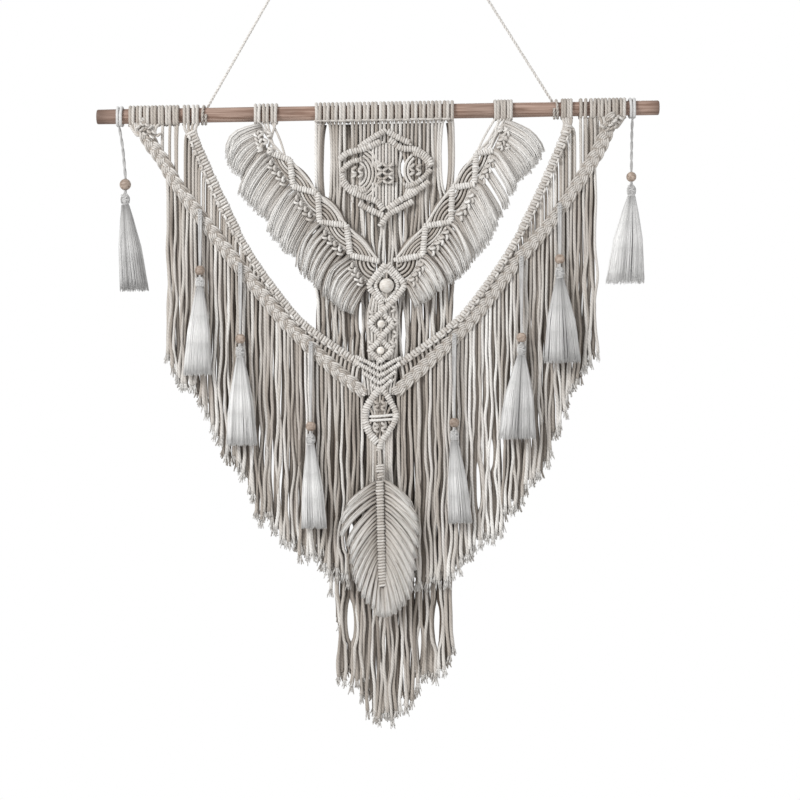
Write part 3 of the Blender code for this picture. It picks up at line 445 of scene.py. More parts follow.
def braid(yarn, path, widths, depth, cord, tone, chance):
    """Braid strands of a few cords along a path. widths gives its width from x."""
    line = curve(path, KNOT_RING)
    runs, fronts, sides = path_directions(line)
    walked = np.arange(len(line)) * np.linalg.norm(line[1] - line[0])
    strand = BRAID_PLY * cord
    reach = (read(widths, np.abs(line[:, 0])) - strand) / 2
    # painted shade: a darker core under the strands
    yarn.tubes(line[::3], (reach[::3] + strand / 2) * 0.8, tone - 0.28, sides=8, flat=0.36)
    for k in range(BRAID_STRANDS):
        phase = TAU * (walked / BRAID_LAY + k / BRAID_STRANDS)
        steep = reach * TAU / BRAID_LAY * np.cos(phase)
        slope = np.sqrt(1 + steep ** 2)
        deep = (depth - cord) / 2 * np.sin(2 * phase)
        for j in range(BRAID_PLY):
            off = (j - (BRAID_PLY - 1) / 2) * cord * 0.95
            way = (line + sides * (reach * np.sin(phase) + off / slope)[:, None]
                   - runs * (off * steep / slope)[:, None] + fronts * deep[:, None])
            # painted light: a strand is lighter where it comes forward
            yarn.tubes(way, cord / 2, tone + chance.normal(0, 0.06) + 0.05 * np.sin(2 * phase))


def over_rod(yarn, xs, cord, chance, tones, lean=0.0):
    """Loop pairs of strands over the rod, from its front, over the top and back to its underside.

    The two strands of a pair close up at the front's foot, and lean is how far they slant there.
    """
    reach = ROD_RADIUS + cord / 2 + 0.2
    turns = np.radians(np.arange(0, 281, 20))      # round the rod, from its front
    slide = np.clip(1 - turns / 1.6, -0.3, 1)      # how much of the foot's offset is left
    for k, x in enumerate(xs):
        mate = k + 1 if k % 2 == 0 else k - 1
        foot = x + lean + (0.10 * (xs[mate] - x) if mate < len(xs) else 0.0)
        wobble = chance.normal(0, 0.25)
        arc = np.column_stack((x + (foot - x) * slide + wobble * np.sin(turns),
                               -reach * np.cos(turns), reach * np.sin(turns)))
        front = [(foot + lean * 0.4, -reach + 2.2, -14.8), (foot, -reach, -8.0)]
        yarn.strand(np.vstack((front, arc)), cord / 2,
                    chance.choice(tones) + chance.uniform(-0.05, 0.05))


def loop_line(yarn, xs, cord, chance):
    """Lay the loops of the lark's heads across each pair of strands, just under the rod."""
    y = -ROD_RADIUS - cord
    for a, b in zip(xs[::2], xs[1::2]):
        z = LOOP_Z + chance.normal(0, 0.3)
        points = ((a - cord * 0.55, y + 4, z + 1.0), (a - cord * 0.2, y - 1.2, z),
                  (b + cord * 0.2, y - 1.2, z), (b + cord * 0.55, y + 4, z + 1.0))
        yarn.strand(points, cord * 0.3, 0.72 + chance.uniform(-0.1, 0.06))


def lock(yarn, path, start, end, depth, count, thread, chance, tones, ragged=0.1, edge=0.22):
    """Comb count threads along a path, in a lock whose width grows from start to end.

    tones are those of its root and of its tip; a darker root is painted shade. ragged is how much
    shorter its shortest thread is, as a share, and edge is how much darker the threads at its
    sides are, as painted shade between the locks.
    """
    share = np.linspace(0, 1, len(LOCK_RADII))
    fine = curve(path, 1.0)
    line = sample(fine, np.linspace(0, 1, len(fine)), share)
    _, fronts, sides = path_directions(line)
    across = np.linspace(-1, 1, count) + chance.normal(0, 0.08, count)
    deep = chance.uniform(-0.6, 1, count) * np.sqrt(np.maximum(0, 1 - across ** 2 * 0.85))
    clump = np.round(across * LOCK_CLUMPS) / LOCK_CLUMPS
    placed = across[:, None] + (clump - across)[:, None] * LOCK_GATHER * share ** 2
    wide = (start + (end - start) * share ** 0.9) / 2
    ways = sample(line, share, share * (1 - ragged * chance.uniform(0, 1, (count, 1)) ** 2))
    ways += sides * (placed * wide)[..., None]
    ways += fronts * (deep[:, None] * depth / 2 * (0.8 + 0.2 * share))[..., None]
    ways += chance.normal(0, 0.2, ways.shape) * share[:, None]
    tone = tones[0] + (tones[1] - tones[0]) * share ** 0.7
    # painted shade: threads at the lock's sides and at its back are darker
    edge_shade = -edge * np.abs(across) ** 3 - 0.1 * (deep < -0.2)
    radii = thread / 2 * LOCK_RADII * chance.uniform(0.85, 1.2, (count, 1))
    yarn.tubes(ways, radii, tone + edge_shade[:, None] + chance.normal(0, 0.05, (count, 1)),
               THREAD_SIDES)
    body = np.maximum(wide * 0.82, 0.6)
    # painted shade: the core under the threads is darker
    yarn.tubes(line[:-1], body[:-1], tone[:-1] - 0.12, sides=8, flat=min(1.0, depth * 0.55 / end))


# ---------------------------------------------------------------- materials

NODE_GRID = 220            # distance between nodes in the shader editor
NODE_ROWS = 4
NODE_COLUMNS = 8           # columns left of the shader


def add(tree, kind, **values):
    """Add a node with some of its settings and inputs set. Nodes fill a grid, column by column."""
    column, row = divmod(len(tree.nodes), NODE_ROWS)
    node = tree.nodes.new(kind)
    node.location = (NODE_GRID * (column - NODE_COLUMNS), -NODE_GRID * row)
    for key, value in values.items():
        if hasattr(node, key) and key not in node.inputs:
            setattr(node, key, value)
        else:
            node.inputs[key.replace("_", " ")].default_value = value
    return node


def maths(tree, operation, *values):
    """Add a Math node on values or sockets and return its result."""
    node = add(tree, "ShaderNodeMath", operation=operation)
    for socket, value in zip(node.inputs, values):
        if isinstance(value, bpy.types.NodeSocket):
            tree.links.new(value, socket)
        else:
            socket.default_value = value
    return node.outputs[0]


def mix_colour(tree, mode, factor, a, b):
    """Add a colour mix and return its result."""
    node = add(tree, "ShaderNodeMix", data_type="RGBA", blend_type=mode)
    for socket, value in ((node.inputs[0], factor), (node.inputs[6], a), (node.inputs[7], b)):
        if isinstance(value, bpy.types.NodeSocket):
            tree.links.new(value, socket)
        else:
            socket.default_value = value if isinstance(value, float) else (*value, 1.0)
    return node.outputs[2]


def linear(tree, value, factor, offset):
    """Return a value times a factor, plus an offset."""
    return maths(tree, "ADD", maths(tree, "MULTIPLY", value, factor), offset)


def grey(tree, value):
    """Return a value as a grey."""
    node = add(tree, "ShaderNodeCombineColor")
    for socket in node.inputs:
        tree.links.new(value, socket)
    return node.outputs[0]


def relief(tree, shader, height, strength, distance):
    """Raise a shader's surface by a height."""
    bump = add(tree, "ShaderNodeBump", Strength=strength, Distance=distance)
    tree.links.new(height, bump.inputs["Height"])
    tree.links.new(bump.outputs[0], shader.inputs["Normal"])


def new_group(name, inputs, outputs):
    """Start a node group with sockets for values, and return it with its input and output nodes."""
    tree = bpy.data.node_groups.new(name, "ShaderNodeTree")
    for label, default in inputs.items():
        socket = tree.interface.new_socket(label, in_out="INPUT", socket_type="NodeSocketFloat")
        socket.default_value = default
    for label in outputs:
        tree.interface.new_socket(label, in_out="OUTPUT", socket_type="NodeSocketFloat")
    return tree, add(tree, "NodeGroupInput"), tree.nodes.new("NodeGroupOutput")


def yarn_group():
    """Build the group that draws plies and fibres on a tube from its lay."""
    tree, given, out = new_group("Yarn fibre", {"Plies": 3.0, "Turns per metre": 70.0,
                                                "Fibre Scale": 9.0}, ("Height", "Groove", "Fibre"))
    lay = add(tree, "ShaderNodeAttribute", attribute_name="lay")
    split = add(tree, "ShaderNodeSeparateXYZ")
    tree.links.new(lay.outputs["Vector"], split.inputs[0])
    turned = maths(tree, "MULTIPLY", split.outputs[1], given.outputs[1])
    turned = maths(tree, "MULTIPLY", turned, MM)
    around = maths(tree, "ADD", split.outputs[0], turned)
    ply = maths(tree, "MULTIPLY", around, given.outputs[0])
    wave = maths(tree, "SINE", maths(tree, "MULTIPLY", ply, math.pi))
    groove = maths(tree, "ABSOLUTE", wave)
    tone = add(tree, "ShaderNodeAttribute", attribute_name="tone")
    spot = add(tree, "ShaderNodeCombineXYZ")
    tree.links.new(ply, spot.inputs[0])
    tree.links.new(maths(tree, "MULTIPLY", split.outputs[1], 0.035), spot.inputs[1])
    tree.links.new(maths(tree, "MULTIPLY", tone.outputs["Fac"], 31.0), spot.inputs[2])
    noise = add(tree, "ShaderNodeTexNoise", Detail=3.0, Roughness=0.6)
    tree.links.new(spot.outputs[0], noise.inputs["Vector"])
    tree.links.new(given.outputs[2], noise.inputs["Scale"])
    fibre = noise.outputs["Fac"]
    height = maths(tree, "ADD", groove, maths(tree, "MULTIPLY", fibre, 0.5))
    for result, socket in zip((height, groove, fibre), out.inputs):
        tree.links.new(result, socket)
    return tree


def wood_group():
    """Build the group that draws grain along the object's X."""
    tree, given, out = new_group("Wood grain", {"Along": 8.0, "Across": 260.0},
                                 ("Grain", "Blotch"))
    spot = add(tree, "ShaderNodeTexCoord")
    split = add(tree, "ShaderNodeSeparateXYZ")
    tree.links.new(spot.outputs["Object"], split.inputs[0])
    join = add(tree, "ShaderNodeCombineXYZ")
    for k, scale in enumerate((0, 1, 1)):
        scaled = maths(tree, "MULTIPLY", split.outputs[k], given.outputs[scale])
        tree.links.new(scaled, join.inputs[k])
    fine = add(tree, "ShaderNodeTexNoise", Scale=1.0, Detail=4.0, Distortion=0.4)
    tree.links.new(join.outputs[0], fine.inputs["Vector"])
    blotch = add(tree, "ShaderNodeTexNoise", Scale=14.0, Detail=2.0)
    tree.links.new(spot.outputs["Object"], blotch.inputs["Vector"])
    for node, socket in zip((fine, blotch), out.inputs):
        tree.links.new(node.outputs["Fac"], socket)
    return tree


def new_material(name, roughness, sheen, specular):
    """Start a material with its constant values on the shader."""
    material = bpy.data.materials.new(name)
    material.use_nodes = True
    tree = material.node_tree
    shader = tree.nodes["Principled BSDF"]
    for socket, value in (("Roughness", roughness), ("Sheen Weight", sheen),
                          ("Sheen Roughness", 0.6), ("Specular IOR Level", specular)):
        shader.inputs[socket].default_value = value
    return material, tree, shader


def yarn_material(name, colours, plies, turns, fibre, bump, sheen, groove_shade):
    """Make a yarn's finish: colour from each cord's tone, plies in grooves and fine fibres."""
    material, tree, shader = new_material(name, 0.92, sheen, 0.12)
    group = add(tree, "ShaderNodeGroup", node_tree=shared_group("Yarn fibre", yarn_group),
                Plies=plies, Turns_per_metre=turns, Fibre_Scale=fibre)
    tone = add(tree, "ShaderNodeAttribute", attribute_name="tone")
    ramp = add(tree, "ShaderNodeValToRGB")
    ramp.color_ramp.elements[0].color = (*colours[0], 1.0)
    ramp.color_ramp.elements[1].color = (*colours[-1], 1.0)
    if len(colours) > 2:
        ramp.color_ramp.elements.new(0.5).color = (*colours[1], 1.0)
    tree.links.new(tone.outputs["Fac"], ramp.inputs[0])
    spread = linear(tree, group.outputs["Fibre"], 0.7, 0.62)
    lit = linear(tree, group.outputs["Groove"], groove_shade, 1 - groove_shade)
    shade = grey(tree, maths(tree, "MULTIPLY", spread, lit))
    mixed = mix_colour(tree, "MULTIPLY", 1.0, ramp.outputs[0], shade)
    tree.links.new(mixed, shader.inputs["Base Color"])
    relief(tree, shader, group.outputs["Height"], 0.8, bump)
    return material


def wood_material(name, light, dark, along, across, roughness):
    """Make a wooden finish with grain along X, faint blotches and darker ends."""
    material, tree, shader = new_material(name, roughness, 0.0, 0.35)
    group = add(tree, "ShaderNodeGroup",
                node_tree=shared_group("Wood grain", wood_group), Along=along, Across=across)
    grain = add(tree, "ShaderNodeValToRGB")
    grain.color_ramp.elements[0].position = 0.36
    grain.color_ramp.elements[1].position = 0.62
    tree.links.new(group.outputs["Grain"], grain.inputs[0])
    shade = mix_colour(tree, "MIX", grain.outputs[0], dark, light)
    blotch = grey(tree, linear(tree, group.outputs["Blotch"], 0.8, 0.6))
    mixed = mix_colour(tree, "MULTIPLY", 1.0, shade, blotch)
    worn = add(tree, "ShaderNodeAttribute", attribute_name="worn")
    worn = maths(tree, "MULTIPLY", worn.outputs["Fac"], 0.85)
    mixed = mix_colour(tree, "MIX", worn, mixed, tuple(0.5 * value for value in dark))
    tree.links.new(mixed, shader.inputs["Base Color"])
    rough = linear(tree, group.outputs["Grain"], 0.3, roughness - 0.15)
    tree.links.new(rough, shader.inputs["Roughness"])
    relief(tree, shader, group.outputs["Grain"], 0.4, 0.0004)
    return material


def shared_group(name, make):
    """Return a node group, built at its first use."""
    return bpy.data.node_groups.get(name) or make()


def finish(name):
    """Return a material by its name, made at its first use."""
    known = bpy.data.materials.get(name)
    if known:
        return known
    cords, wood = bpy.context.scene.macrame_cords, bpy.context.scene.macrame_wood
    shades = {
        "cotton cord": (cords.shadow, cords.cotton, cords.cream),
        "combed cotton": (cords.shadow, cords.cotton, cords.combed),
        "tassel thread": (cords.silk_shadow, cords.silk),
        "rod wood": (wood.rod, wood.rod_grain),
        "tan bead": (wood.bead, wood.bead_grain),
        "cream bead": (wood.cream, wood.cream_grain),
    }
    # Plies, turns per metre, fibre, height of the relief, sheen and shade of the grooves
    yarns = {
        "cotton cord": (3, 62, 3.2, 0.0004, 0.15, 0.16),
        "combed cotton": (1, 20, 5.0, 0.0002, 0.25, 0.12),
        "tassel thread": (1, 25, 5.0, 0.0002, 0.35, 0.12),
    }
    # Grain along and across, roughness
    woods = {
        "rod wood": (14, 330, 0.55),
        "tan bead": (150, 420, 0.5),
        "cream bead": (120, 320, 0.45),
    }
    colours = [tuple(item) for item in shades[name]]
    if name in yarns:
        return yarn_material(name, colours, *yarns[name])
    return wood_material(name, *colours, *woods[name])


# ---------------------------------------------------------------- rod, beads and hanging cord

ROD_SEGMENTS = 48
BEAD_SEGMENTS = 32
DARKER_ENDS = ((44, 1.0), (26, 0.8))     # how far in from the rod's left and right end it is darker, and how much


def turned(name, centre, profile, axis, segments, material, slot, node, waver=0.0):
    """Turn a profile of (along, radius) round an axis through the centre, and stand it for a node.

    On the x axis it is closed by flat ends, and on z it is a ring, whose profile closes on itself.
    """
    chance = np.random.default_rng(len(name))
    angles = TAU * np.arange(segments) / segments
    runs = {"x": ((0, 1, 0), (0, 0, 1), (1, 0, 0)), "z": ((1, 0, 0), (0, 1, 0), (0, 0, 1))}
    first, second, way = (np.array(item, float) for item in runs[axis])
    phases = chance.uniform(0, TAU, 3)
    rows = []
    for along, radius in profile:
        bow = waver * (math.sin(along / 71 + phases[0]) + 0.6 * math.sin(along / 29 + phases[1]))
        lobes = 1 + 0.012 * waver * np.sin(2 * angles + along / 90 + phases[2])
        ring = (np.cos(angles)[:, None] * first + np.sin(angles)[:, None] * second) * lobes[:, None]
        rows.append(centre + way * along + ring * (radius + 0.4 * bow))
    index = np.arange(len(profile) * segments).reshape(-1, segments)
    after = np.roll(index, -1, axis=1)
    faces = np.stack((index[:-1], after[:-1], after[1:], index[1:]), axis=-1)
    faces = faces.reshape(-1, 4).tolist()
    end_darkness = np.zeros(index.size)
    if axis == "x":
        faces += [index[0, ::-1].tolist(), index[-1].tolist()]
        (left, most), (right, less) = DARKER_ENDS
        end_darkness = np.repeat([max(0.0, most - (along - profile[0][0]) / left,
                              less - (profile[-1][0] - along) / right) for along, _ in profile],
                         segments)
    else:
        faces += np.stack((index[-1], after[-1], after[0], index[0]), axis=-1).tolist()
    mesh = bpy.data.meshes.new(name)
    mesh.from_pydata(to_frame(np.concatenate(rows)), [], faces)
    mesh.shade_smooth()
    mesh.set_sharp_from_angle(angle=math.radians(50))
    worn = mesh.attributes.new("worn", "FLOAT", "POINT")
    worn.data.foreach_set("value", end_darkness.astype(np.float32))
    return finish_piece(name, mesh, material, slot, node)


def rod_profile():
    """Return the rod's profile, with rounded ends."""
    half, rounding = ROD_LENGTH / 2, 2.0
    ends = [(half - rounding * (1 - math.sin(a)), ROD_RADIUS - rounding * (1 - math.cos(a)))
            for a in np.radians((90, 60, 30, 0))]
    middle = [(x, ROD_RADIUS) for x in np.linspace(-half + 6, half - 6, 90)]
    return [(-x, r) for x, r in ends] + middle + ends[::-1]


def bead_profile(radius):
    """Return a bead's profile, a ball with a bore whose edges are rounded."""
    edge = math.acos((BEAD_BORE + 0.5) / radius)
    outside = [(radius * math.sin(a), radius * math.cos(a)) for a in np.linspace(-edge, edge, 15)]
    foot = outside[0][0] + 0.4
    return [(foot, BEAD_BORE)] + outside + [(-foot, BEAD_BORE)]


class MACRAME_OT_rod(Operator):
    """Turn the wooden rod"""

    bl_idname = "macrame.rod"
    bl_label = "Rod"

    def execute(self, context):
        centre = np.array((ROD_MIDDLE_X, 0.0, 0.0))
        turned("wooden_rod", centre, rod_profile(), "x", ROD_SEGMENTS, finish("rod wood"),
               "rod_wood", "rod", waver=0.5)
        return {"FINISHED"}


# A tassel from its tie down: x and drop of the tie, of its bead, the bead's radius, the drop of
# its head, x and drop of its skirt's foot, and the skirt's half width. Drop 0 is a tie on the rod
Tassel = namedtuple("Tassel", "x tie bead_x bead radius head foot_x foot half")
TASSELS = {
    "left_outer": Tassel(-390, 0, -382, 102, 8.6, 118, -369, 263, 21),
    "left_high": Tassel(-268, 152, -268, 234, 7.6, 246, -271, 391, 20),
    "left_middle": Tassel(-208, 233, -208, 337, 7.6, 350, -205, 497, 22),
    "left_low": Tassel(-103, 352, -103, 469, 7.6, 482, -98, 622, 18),
    "right_low": Tassel(111, 344, 111, 467, 7.6, 480, 119, 618, 17),
    "right_middle": Tassel(211, 230, 211, 342, 7.6, 353, 205, 494, 27),
    "right_high": Tassel(268, 152, 268, 226, 7.6, 240, 271, 382, 26),
    "right_outer": Tassel(378, 0, 377, 103, 7.6, 117, 368, 264, 28),
}
# Loops of the column from the top: x, drop, half width and half height
RINGS = {
    "lozenge": (10.0, 261.0, 26.0, 33.0),
    "upper_loop": (2.0, 318.0, 17.0, 17.5),
    "lower_loop": (1.0, 357.5, 16.0, 15.0),
}
# The bead in each of them: its name and radius
RING_BEADS = (("large_bead", 11.0), ("small_bead_upper", 6.0), ("small_bead_lower", 6.0))
BEAD_BORE = 2.2
INNER_TASSEL_LAYER = -21.3     # y of an inner tassel's cord on its band
INNER_BEAD_BACK = -15.15       # y of the fringe's front, where the inner beads lie


def bead_layer(tassel):
    """Return the y of a tassel's bead."""
    return INNER_BEAD_BACK - tassel.radius if tassel.tie else 0.0


class MACRAME_OT_beads(Operator):
    """Turn the wooden beads of the tassels and of the column"""

    bl_idname = "macrame.beads"
    bl_label = "Beads"

    def execute(self, context):
        for name, item in TASSELS.items():
            centre = place(item.bead_x, item.bead, bead_layer(item))
            turned(f"wooden_bead_{name}", centre, bead_profile(item.radius), "z", BEAD_SEGMENTS,
                   finish("tan bead"), "bead_wood", f"bead_{name}")
        for (x, drop, _, _), (name, radius) in zip(RINGS.values(), RING_BEADS):
            turned(f"turned_{name}", place(x, drop, COLUMN_LAYER), bead_profile(radius), "z",
                   BEAD_SEGMENTS, finish("cream bead"), "bead_cream", name)
        return {"FINISHED"}


STRING = 4.0               # width of the hanging cord
STRING_PLIES = 2
STRING_LAY = 11.0          # length of one twist of its plies
STRING_TURNS = 1.5         # round the rod at each end
STRING_PITCH = 1.25        # from one turn to the next, in its widths
NAIL_ANGLES = (140, 90, 40)    # where it bends on the nail, in degrees


class MACRAME_OT_hanging_cord(Operator):
    """Lay the twisted cord from the rod over its nail and back"""

    bl_idname = "macrame.hanging_cord"
    bl_label = "Hanging cord"

    def execute(self, context):
        reach, gap = ROD_RADIUS + STRING / 2 + 0.4, 1.6
        ends = []
        for side in (-1, 1):
            turns = np.linspace(0, STRING_TURNS, 19)
            angles = TAU * (turns - 0.5)
            xs = side * (CORD_TIE_X - (STRING_TURNS - turns) * STRING * STRING_PITCH)
            ends.append(np.column_stack((xs, reach * np.cos(angles), reach * np.sin(angles))))
        bend = NAIL_RADIUS + STRING / 2
        over = [np.array(NAIL) + (bend * math.cos(a), 0, bend * math.sin(a) - NAIL_RADIUS)
                for a in np.radians(NAIL_ANGLES)]
        share = np.linspace(0.03, 0.97, 12)[:, None]
        left = ends[0][-1] + (over[0] - ends[0][-1]) * share
        right = over[-1] + (ends[1][-1] - over[-1]) * share
        path = curve(np.vstack((ends[0], left, over, right, ends[1][::-1])), gap)
        _, fronts, sides = path_directions(path)
        walked = np.arange(len(path)) * gap
        shade = np.where(np.abs(path[:, 2]) < reach + 2, 0.56, 0.84)
        yarn = Yarn()
        for k in range(STRING_PLIES):
            angle = TAU * (walked / STRING_LAY + k / STRING_PLIES)[:, None]
            ply = path + (fronts * np.cos(angle) + sides * np.sin(angle)) * STRING * 0.25
            yarn.tubes(ply, STRING * 0.31, shade + 0.06 * k, sides=5)
        yarn.build("twisted_hanging_cord", finish("cotton cord"), "cotton", "hanging_cord")
        return {"FINISHED"}

# ---------------------------------------------------------------- centre panel

CENTRE_LEFT = -98.0
CENTRE_RIGHT = 111.0
# Its fringe's ends: x and drop
CENTRE_ENDS = ((-98, 672), (-86, 676), (-76, 700), (-68, 740), (-60, 858), (-45, 868), (-30, 872),
               (-15, 910), (0, 922), (15, 924), (30, 916), (45, 902), (60, 864), (75, 868),
               (90, 860), (112, 818))
# Bars of the rosette: x and drop of their corners
ROSETTE_BARS = (
    ((-31, 53), (-12, 40), (9, 27)), ((12, 30), (27, 39), (46, 48)),
    ((-60, 70), (-48, 61), (-24, 55), (2, 44)), ((15, 42), (32, 55), (55, 58), (73, 72), (77, 82)),
    ((-57, 105), (-42, 119), (-21, 128), (-5, 134), (5, 147)), ((-31, 137), (-14, 147), (6, 156)),
    ((73, 106), (48, 124), (30, 133), (11, 146)), ((49, 135), (30, 145), (12, 155), (1, 171)),
)
# Lids of its two eyes, thinner bars
ROSETTE_LIDS = (
    ((-58, 88), (-43, 75), (-26, 71)), ((-58, 93), (-49, 109), (-34, 118), (-20, 116)),
    ((50, 63), (64, 69), (75, 84)), ((76, 88), (62, 102), (47, 111), (36, 110)),
)
# Its two eyes and the woven knot between them: x and drop of their middle
ROSETTE_EYES = ((-34, 90), (53, 88))
ROSETTE_MIDDLE = (8, 80)
# Cords that bow round the eyes: x and drop of the bows' centre, side, first radius, number of
# cords, and half the angle of the bows in degrees
ROSETTE_BOWS = ((-40, 92, 1, 19, 5, 60), (64, 89, -1, 22, 2, 55))
# Tones from light to dark: of the cords in front, of those behind, darker as painted shade,
# of those raised from the work, lighter as painted light, of those round the rod, and of those
# in the shade of others, darker as painted shade
MID_TONES = (0.8, 0.72, 0.67, 0.62, 0.58, 0.54, 0.5, 0.42)
SHADED_BACK_TONES = (0.34, 0.26, 0.19, 0.12)
LIT_TONES = (0.86, 0.8, 0.74, 0.66)
WRAP_TONES = (0.74, 0.66, 0.58, 0.5)
DIM_TONES = (0.52, 0.42, 0.34, 0.24)

def centre_columns(pitch, shift=0.0):
    """Return the x of the centre panel's cords."""
    count = round((CENTRE_RIGHT - CENTRE_LEFT) / pitch)
    return CENTRE_LEFT + (np.arange(count) + 0.5 + shift) * (CENTRE_RIGHT - CENTRE_LEFT) / count


class MACRAME_OT_centre_panel(Operator):
    """Knot the centre panel: its loops on the rod, the rosette and the longest fringe"""

    bl_idname = "macrame.centre_panel"
    bl_label = "Centre panel"

    def execute(self, context):
        looks = context.scene.macrame_cords
        chance = np.random.default_rng(looks.seed + 1)
        cord, hitch, sway = looks.cord / MM, looks.hitch / MM, looks.sway / MM
        knots = Yarn()
        xs = centre_columns(looks.pitch / MM)
        over_rod(knots, xs, cord * 1.14, chance, WRAP_TONES)
        loop_line(knots, xs, cord, chance)
        for bar in ROSETTE_BARS:
            hitches(knots, row_path(bar, ROSETTE_LAYER), 10.4, 8.8, hitch, 0.76, chance,
                    inside=0.35)
        for bar in ROSETTE_LIDS:
            hitches(knots, row_path(bar, ROSETTE_LAYER + 0.5), 8.8, 8.0, hitch * 0.9, 0.72, chance,
                    inside=0.35)
        self.rosette(knots, cord, hitch, chance)
        knots.build("centre_panel_knots", finish("cotton cord"), "cotton", "centre_panel")
        yarn = Yarn()
        for x in xs:
            tone = chance.choice(MID_TONES) + chance.uniform(-0.06, 0.06)
            end = read(CENTRE_ENDS, x) - FRAY_REACH + chance.uniform(-12, 8)
            path = hanging(x, 12.0, end, BACK_LAYER, chance, sway, (x, -11.5, -12.0))
            tone = tone + 0.04 - 0.12 * np.clip((-path[:, 2] - 400) / 300, 0, 1)
            drop_cord(yarn, part_aside(path), cord * chance.uniform(0.94, 1.1), tone, chance)
        for x in centre_columns(looks.pitch / MM * 0.95, 0.5)[:-1]:
            end = read(CENTRE_ENDS, x) - FRAY_REACH + chance.uniform(-30, -4)
            path = hanging(x, 17, end, BACK_LAYER + 6.0, chance, sway * BACK_SWAY)
            # painted shade: the cords behind are darker, less so near the top
            tone = chance.choice(SHADED_BACK_TONES) + 0.3 * np.clip((300 + path[:, 2]) / 120, 0, 1)
            drop_cord(yarn, part_aside(path), cord * BACK_CORD, tone, chance, BACK_SIDES)
        yarn.build("centre_panel_fringe", finish("cotton cord"), "cotton", "centre_panel")
        return {"FINISHED"}

    def rosette(self, yarn, cord, hitch, chance):
        """Knot the rosette's inside: its eyes, the woven knot and the bowed cords between."""
        y, radius = ROSETTE_LAYER + 1.9, cord * 0.45

        def weave(x, drop, y, rows, columns, pitch, width, tone):
            for k in range(rows):
                for j in columns:
                    square_knot(yarn, place(x + pitch[0] * j, drop + pitch[1] * k, y), width,
                                pitch[1], hitch * 0.9, tone + chance.normal(0, 0.08), (k + j) % 2)

        for x, drop in ROSETTE_EYES:
            weave(x, drop - 6, y - 2.0, 3, (-1, 1), (5.0, 5.6), 9.0, 0.7)
        for x, drop, side, first, count, half in ROSETTE_BOWS:
            for reach in first + 5.2 * np.arange(count):
                arc = [place(x + side * reach * math.cos(a), drop + reach * 1.05 * math.sin(a), y)
                       for a in np.radians(np.linspace(-half, half, 7))]
                yarn.strand(arc, radius, chance.choice(LIT_TONES))
        weave(*ROSETTE_MIDDLE, y - 3.4, 5, (-1, 0, 1), (8.6, 6.2), 9.8, 0.68)
        middle = ROSETTE_MIDDLE[0]
        for x in np.arange(-12, 27, 5.4):          # cords over and under the woven knot
            for top, foot in ((47, 82), (106, 146 - abs(x - middle) * 0.6)):
                path = hanging(middle + (x - middle) * 0.92, top, foot, y, chance, 0.4)
                yarn.tubes(path, cord * 0.46, chance.choice(LIT_TONES))
        for side, x in ((-1, -22), (1, 38)):       # cords that cross under each eye
            for k in range(4):
                path = (place(x + side * (3 + 5.6 * k), 112 - 1.5 * k, y + 1),
                        place(x + side * 3.6 * k, 124 - k, y),
                        place(x - side * (7 - 3.0 * k), 136 - 3 * k, y + 1))
                yarn.strand(path, radius, chance.choice(LIT_TONES))


# ---------------------------------------------------------------- swags at the sides

# One side's swag. outer is the outer band's line as x and drop, braid is its width and how far it
# lies up from that line, from x. ends are the fringe's ends as x and drop, wraps are the strands'
# stretches of the rod, fringe_to is where the fringe stops, and inner is the inner band's widths
Swag = namedtuple("Swag", "side name outer braid ends wraps fringe_to inner")
SWAGS = (
    Swag(-1, "left",
         outer=((352, 24), (343, 42), (324, 70), (301, 110), (230, 207), (150, 303), (78, 375),
                (22, 422)),
         braid=((22, 19.0, 0.0), (50, 23.0, 0.0), (140, 23.0, 0.0), (170, 23.0, 2.0),
                (250, 23.0, 2.5), (300, 21.0, 1.0), (352, 24.0, 0.0)),
         ends=((0, 715), (60, 708), (75, 700), (90, 668), (105, 680), (120, 667), (135, 656),
               (150, 650), (165, 616), (180, 618), (195, 579), (210, 540), (225, 527), (240, 497),
               (255, 471), (270, 430), (285, 420), (300, 407), (315, 384), (330, 366)),
         wraps=((-377, -301), (-296, -271)), fringe_to=318.0, inner=(18.5, 14.0)),
    Swag(1, "right",
         outer=((343, 24), (334, 48), (318, 79), (258, 168), (199, 237), (137, 315), (22, 422)),
         braid=((22, 19.0, 0.0), (50, 21.5, 0.0), (110, 21.5, 0.0), (140, 21.5, 1.5),
                (230, 21.5, 1.5), (280, 20.0, 0.5), (343, 24.0, 0.0)),
         ends=((0, 728), (97, 715), (120, 690), (135, 676), (150, 654), (165, 648), (180, 636),
               (195, 606), (210, 604), (225, 566), (240, 558), (255, 530), (270, 472), (285, 438),
               (300, 418), (315, 390), (330, 362)),
         wraps=((271, 289), (298, 311), (314, 369)), fringe_to=322.0, inner=(15.0, 12.5)),
)
INNER_BAND = ((282, 26), (270, 56), (238, 128), (196, 209), (139, 289), (104, 325), (30, 378))
INNER_SPLIT = 213.0        # outside this x the inner band has the wider of its widths
FRINGE_FROM = 27.0
# Strands that come down from the rod: inside the first x they gather into the inner band's head,
# outside the second into the outer band's, and between them they hang straight
GATHER_X = (296, 326)


def band_drop(rows, x):
    """Return how low a band lies at a distance from the middle line."""
    line = curve(row_path(rows, 0.0), 4.0)
    order = np.argsort(line[:, 0])
    return np.interp(x, line[order, 0], -line[order, 2])


